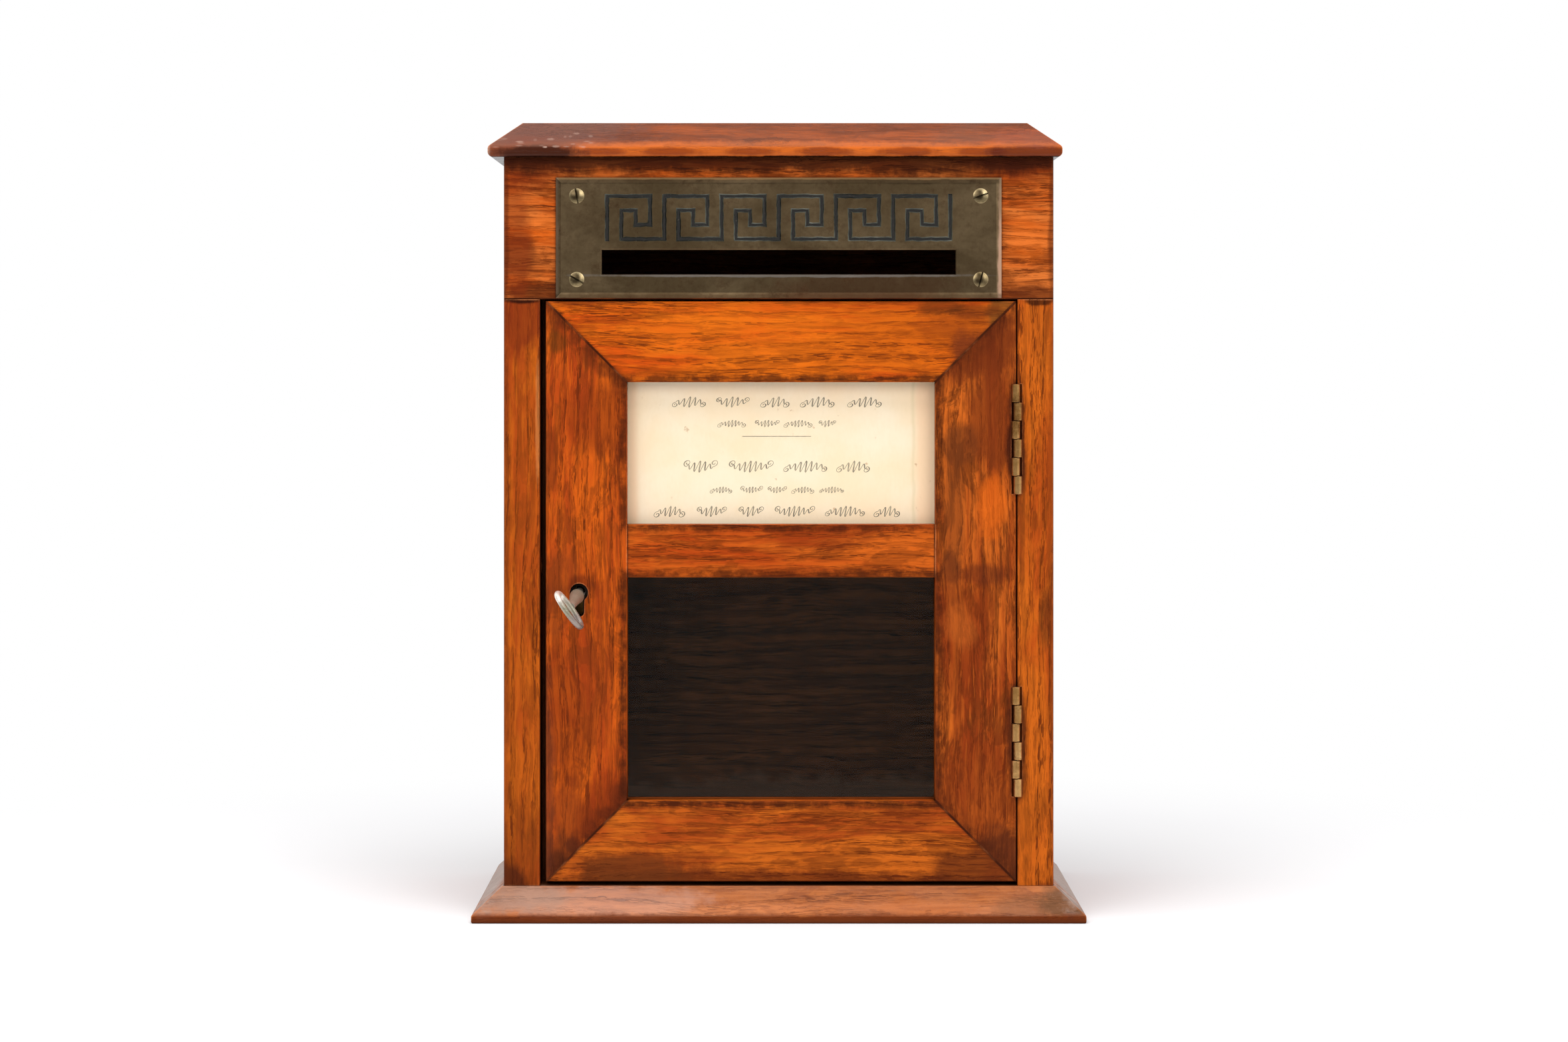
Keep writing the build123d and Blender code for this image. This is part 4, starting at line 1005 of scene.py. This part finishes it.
def make_cutter():
    """The solid that the engraver's cuts take out of the plate."""
    rng = random.Random(11)
    left = -2 * engraving_units * engraving_step
    foot = plate_low.z + engraving_rise
    corners = [Vector((left + x * engraving_step, foot + z * engraving_step)) for x, z in key_pattern()]
    points = []
    for first, last in zip(corners, corners[1:]):
        count = max(1, round((last - first).length / cut_length))
        points += [first.lerp(last, place / count) for place in range(count)]
    points.append(corners[-1])
    shape = bmesh.new()
    sections = []
    for place, point in enumerate(points):
        before = (point - points[place - 1]).normalized() if place else None
        after = (points[place + 1] - point).normalized() if place < len(points) - 1 else None
        before, after = before or after, after or before
        along = (before + after).normalized()
        across = Vector((-along.y, along.x)) / max(0.5, along.dot(before))
        if place in (0, len(points) - 1):
            point = point + along * cut_width * (-0.5 if place == 0 else 0.5)
        section = []
        for side in (1, -1):
            half = cut_width / 2 + rng.uniform(-cut_wobble, cut_wobble)
            for depth, spread in ((-0.4 * MM, 0.4 * MM), (cut_depth, -cut_slope)):
                edge = point + across * side * (half + spread)
                section.append(shape.verts.new((edge.x, plate_low.y + depth, edge.y)))
        sections.append([section[0], section[1], section[3], section[2]])
    bar(shape, sections)
    bmesh.ops.recalc_face_normals(shape, faces=shape.faces)
    mesh = mesh_from("engraver", shape, engraved_materials)
    for face in mesh.polygons:
        face.material_index = 1 if abs(face.normal.y) > 0.95 else 2
    return set_out("engraver", mesh)


def engrave_plate():
    """The letter plate with the pattern cut into it, in place of the plain one."""
    mesh = nodes["letter_plate"].data.copy()
    mesh.materials.clear()
    for material in engraved_materials:
        mesh.materials.append(material)
    plate = set_out("engraved_plate", mesh)
    welded = bmesh.new()
    welded.from_mesh(mesh)
    bmesh.ops.remove_doubles(welded, verts=welded.verts, dist=1e-6)
    welded.to_mesh(mesh)
    welded.free()
    cutter = make_cutter()
    cut = plate.modifiers.new("engraving", "BOOLEAN")
    cut.operation, cut.solver, cut.object = "DIFFERENCE", "EXACT", cutter
    cut.material_mode = "TRANSFER"
    bpy.context.view_layer.update()
    graph = bpy.context.evaluated_depsgraph_get()
    plate.data = bpy.data.meshes.new_from_object(plate.evaluated_get(graph))
    plate.modifiers.clear()
    bpy.data.objects.remove(cutter)
    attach(plate, "carcass")
    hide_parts("letter_plate")


engrave_plate()


# ---- Penmanship on the card: rows of flourishes and a rule ----
ink_rows = (  # height above the middle of the light, half length, flourishes, their height, in mm
    (23.6, 48.5, 5, 2.3),
    (13.6, 27.5, 4, 1.5),
    (-6.4, 43.0, 4, 2.5),
    (-17.2, 31.0, 5, 1.4),
    (-27.2, 57.0, 6, 2.3),
)
ink_rule = (7.7, 16.0)  # its height and half length
ink_middle = -2.0  # from the middle of the light
ink_slant = 0.30
wave_steps = 12
volute_steps = 24
volute_turns = 1.3
rule_steps = 24
rule_thickness = 0.3
ink_thickness = 0.03 * MM


def volute(middle, size, side, winding_in):
    """A spiral of one turn and a bit. It meets the stem at its foot, or at its top if side is -1."""
    points = []
    for step in range(volute_steps + 1):
        share = step / volute_steps
        turn = -math.pi / 2 + (share if winding_in else share - 1) * volute_turns * math.tau
        radius = size * (1 - 0.8 * share if winding_in else 0.2 + 0.8 * share)
        points.append((middle + radius * math.cos(turn), side * (size + radius * math.sin(turn))))
    return points


def flourish(rng, start, height):
    """A stem that swells in the middle, with a small volute at each end, and where it ends."""
    curl = rng.uniform(0.5, 0.75) * height
    side = rng.choice((1, -1))
    line = volute(start + curl, curl, side, False)
    count = rng.randint(4, 7)
    left = line[-1][0]
    length = count * 0.9 * height
    for step in range(1, count * wave_steps):
        share = step / (count * wave_steps)
        swell = 0.35 + 0.75 * math.sin(math.pi * share) ** 2
        line.append((left + length * share, height * swell * math.sin(math.tau * count * share)))
    line += volute(left + length, curl, side, True)
    return [(x + ink_slant * z, z) for x, z in line], left + length + curl


def pen_row(rng, middle_z, half_length, count, height):
    """Flourishes side by side, drawn out or in to fill the row."""
    lines = []
    x = 0.0
    for number in range(count):
        line, end = flourish(rng, x, height)
        lines.append(line)
        x = end + rng.uniform(1.3, 2.2) * height
    left = min(along for line in lines for along, _ in line)
    right = max(along for line in lines for along, _ in line)
    stretch = 2 * half_length / (right - left)
    return [
        [(ink_middle - half_length + (along - left) * stretch, middle_z + up) for along, up in line]
        for line in lines
    ]


def make_penmanship():
    """All the pen work on the card, which lies a hair above its face."""
    rng = random.Random(8)
    middle_x = (light_left + light_right) / 2

    def stroke(shape, line, thick, thin):
        """A flat stroke of ink: wide on the way down, thin on the way up."""
        points = [Vector((middle_x + x * MM, upper_light_middle + z * MM)) for x, z in line]
        sections = []
        for place, point in enumerate(points):
            ahead = points[min(place + 1, len(points) - 1)] - points[max(place - 1, 0)]
            ahead.normalize()
            width = thin + (thick - thin) * max(0.0, -ahead.y) ** 1.5
            across = Vector((-ahead.y, ahead.x)) * width * MM / 2
            section = []
            for side, depth in ((1, -1), (-1, -1), (-1, 1), (1, 1)):
                edge = point + across * side
                section.append(shape.verts.new((edge.x, card_low.y + ink_thickness * depth, edge.y)))
            sections.append(section)
        bar(shape, sections)

    def build(shape):
        for middle_z, half_length, count, height in ink_rows:
            for line in pen_row(rng, middle_z, half_length, count, height):
                stroke(shape, line, 0.12 + 0.20 * height, 0.12 + 0.06 * height)
        height, half_length = ink_rule
        steps = [2 * step / rule_steps - 1 for step in range(rule_steps + 1)]
        rule = [(ink_middle + half_length * step, height) for step in steps]
        stroke(shape, rule, rule_thickness, rule_thickness)

    mesh_piece("penmanship", build, "door", [faded_ink])


make_penmanship()


# ---- Small brass pins that hold the beads ----
PIN_RADIUS = 0.75 * MM
PIN_DOME = 0.45  # how high a head stands, as a share of its radius


def make_bead_pins(light_name):
    """Domed heads on the backs of the beads: two on each upright one, three on the others."""
    spots = []
    for bead_place, count in (("left", 2), ("right", 2), ("top", 3), ("bottom", 3)):
        low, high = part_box(f"{light_name}_{bead_place}_bead")
        for number in range(count):
            share = (number + 0.5) / count
            if count == 2:
                spots.append(((low.x + high.x) / 2, high.y, low.z + (high.z - low.z) * share))
            else:
                spots.append((low.x + (high.x - low.x) * share, high.y, (low.z + high.z) / 2))

    def build(shape):
        for spot in spots:
            head = Matrix.Translation(Vector(spot)) @ Matrix.Diagonal((1.0, PIN_DOME, 1.0, 1.0))
            bmesh.ops.create_uvsphere(
                shape, u_segments=14, v_segments=8, radius=PIN_RADIUS, matrix=head
            )

    pins = mesh_piece(f"{light_name}_bead_pins", build, "door", [hinge_brass])
    for face in pins.data.polygons:
        face.use_smooth = True


for pinned_light in ("lower", "upper"):
    make_bead_pins(pinned_light)


# ---- Floor, light and camera ----
FLOOR_SIZE = 6.0
FLOOR_COLOUR = (0.84, 0.84, 0.85, 1.0)
FLOOR_LIT = 0.34  # the floor keeps its shadows this near to the box, and fades to white beyond
FLOOR_WHITE = 0.55
ROOM_NEAR, ROOM_FAR, ROOM_LEFT, ROOM_RIGHT, ROOM_HIGH = -0.40, -2.6, -1.9, 2.2, 2.4
ROOM_FLOOR = 3 * MM
ROOM_PALE, ROOM_DIM = -0.38, -0.80  # the room darkens from the first Y to the second
WORLD_STRENGTH = 0.55  # on all that isn't seen straight, mirrored or through glass


def seen_rays(tree):
    """One for the rays that show a surface to the camera, straight, mirrored or through glass."""
    rays = node(tree, "ShaderNodeLightPath").outputs
    seen = maths(tree, "MAXIMUM", rays["Is Camera Ray"], rays["Is Glossy Ray"])
    return maths(tree, "MAXIMUM", seen, rays["Is Transmission Ray"])


def make_floor():
    """A white table, which shades to plain white away from the box."""
    shape = bmesh.new()
    bmesh.ops.create_grid(shape, x_segments=1, y_segments=1, size=FLOOR_SIZE)
    material, tree, shader, place = blank_material("white_table")
    shader.inputs["Base Color"].default_value = FLOOR_COLOUR
    shader.inputs["Roughness"].default_value = 0.9
    shader.inputs["Specular IOR Level"].default_value = 0.1
    seen = seen_rays(tree)
    far = between(tree, vectors(tree, "LENGTH", place)["Value"], FLOOR_LIT, FLOOR_WHITE)
    white = node(tree, "ShaderNodeEmission", {"Color": (1, 1, 1, 1), "Strength": 1.0})
    shared(tree, times(tree, seen, far), shader, white)
    set_out("floor", mesh_from("floor", shape, [material]))


def make_dark_room():
    """The unlit end of the studio: its floor, its far wall and one side, seen only in reflections."""
    plan = ((ROOM_LEFT, ROOM_NEAR), (ROOM_RIGHT, ROOM_NEAR), (ROOM_RIGHT, ROOM_FAR), (ROOM_LEFT, ROOM_FAR))
    floor = [(x, y, ROOM_FLOOR) for x, y in plan]
    top = [(x, y, ROOM_HIGH) for x, y in plan]
    shape = bmesh.new()
    for corners in (
        floor,
        (floor[3], floor[2], top[2], top[3]),
        (floor[0], floor[3], top[3], top[0]),
    ):
        shape.faces.new([shape.verts.new(corner) for corner in corners])
    material, tree, shader, place = blank_material("dark_room")
    dim = between(tree, xyz(tree, place)[1], ROOM_PALE, ROOM_DIM)
    tree.links.new(mixed(tree, dim, "8A8682", "353330"), shader.inputs["Base Color"])
    shader.inputs["Roughness"].default_value = 1.0
    room = set_out("dark_room", mesh_from("dark_room", shape, [material]))
    room.visible_camera = room.visible_diffuse = room.visible_shadow = False
    room.visible_transmission = False


def make_world():
    """White to the camera and in reflections, and a dimmer light on everything else."""
    world = bpy.data.worlds.new("studio")
    world.use_nodes = True
    tree = world.node_tree
    background = tree.nodes["Background"].inputs
    background["Color"].default_value = (1.0, 1.0, 1.0, 1.0)
    strength = maths(tree, "ADD", times(tree, seen_rays(tree), 1.0 - WORLD_STRENGTH), WORLD_STRENGTH)
    tree.links.new(strength, background["Strength"])
    bpy.context.scene.world = world


def make_softbox(name, place, aim, width, height, watts):
    """A soft lamp at a place, turned to the point that it aims at."""
    data = bpy.data.lights.new(name, "AREA")
    data.shape, data.size, data.size_y, data.energy = "RECTANGLE", width, height, watts
    lamp = set_out(name, data)
    lamp.location = place
    lamp.rotation_euler = (Vector(aim) - Vector(place)).to_track_quat("-Z", "Y").to_euler()
    return lamp


def make_camera():
    """The photograph's view: level, with the eye's height and side taken up by the lens's shift."""
    data = bpy.data.cameras.new("photo_view")
    camera = set_out("photo_view", data)
    x = (EYE_PIXEL[0] - CARCASS_MIDDLE_PIXEL) * MM_PER_PIXEL * MM
    z = ROW_HEIGHT - (EYE_PIXEL[1] - ROW_PIXEL) * MM_PER_PIXEL * MM
    camera.location = (x, front_y - EYE_DISTANCE, z)
    camera.rotation_euler = (math.pi / 2, 0.0, 0.0)
    data.sensor_width = SENSOR
    data.lens = SENSOR * EYE_DISTANCE / (PHOTO_WIDTH * MM_PER_PIXEL * MM)
    data.shift_x = (PHOTO_WIDTH / 2 - EYE_PIXEL[0]) / PHOTO_WIDTH
    data.shift_y = (EYE_PIXEL[1] - PHOTO_HEIGHT / 2) / PHOTO_WIDTH
    data.clip_start, data.clip_end = 0.05, 50.0
    bpy.context.scene.camera = camera


make_floor()
make_dark_room()
make_world()
overhead = make_softbox("overhead", (-0.10, -0.55, 1.9), (0.0, 0.0, 0.2), 1.8, 1.3, 34.0)
overhead.visible_glossy = False
make_softbox("left_front", (-1.1, -2.1, 1.2), (0.0, -0.1, 0.2), 1.1, 1.1, 13.0)
make_softbox("right_front", (1.1, -2.1, 1.2), (0.0, -0.1, 0.2), 1.1, 1.1, 12.5)
make_camera()
bpy.context.scene.view_settings.view_transform = "Standard"
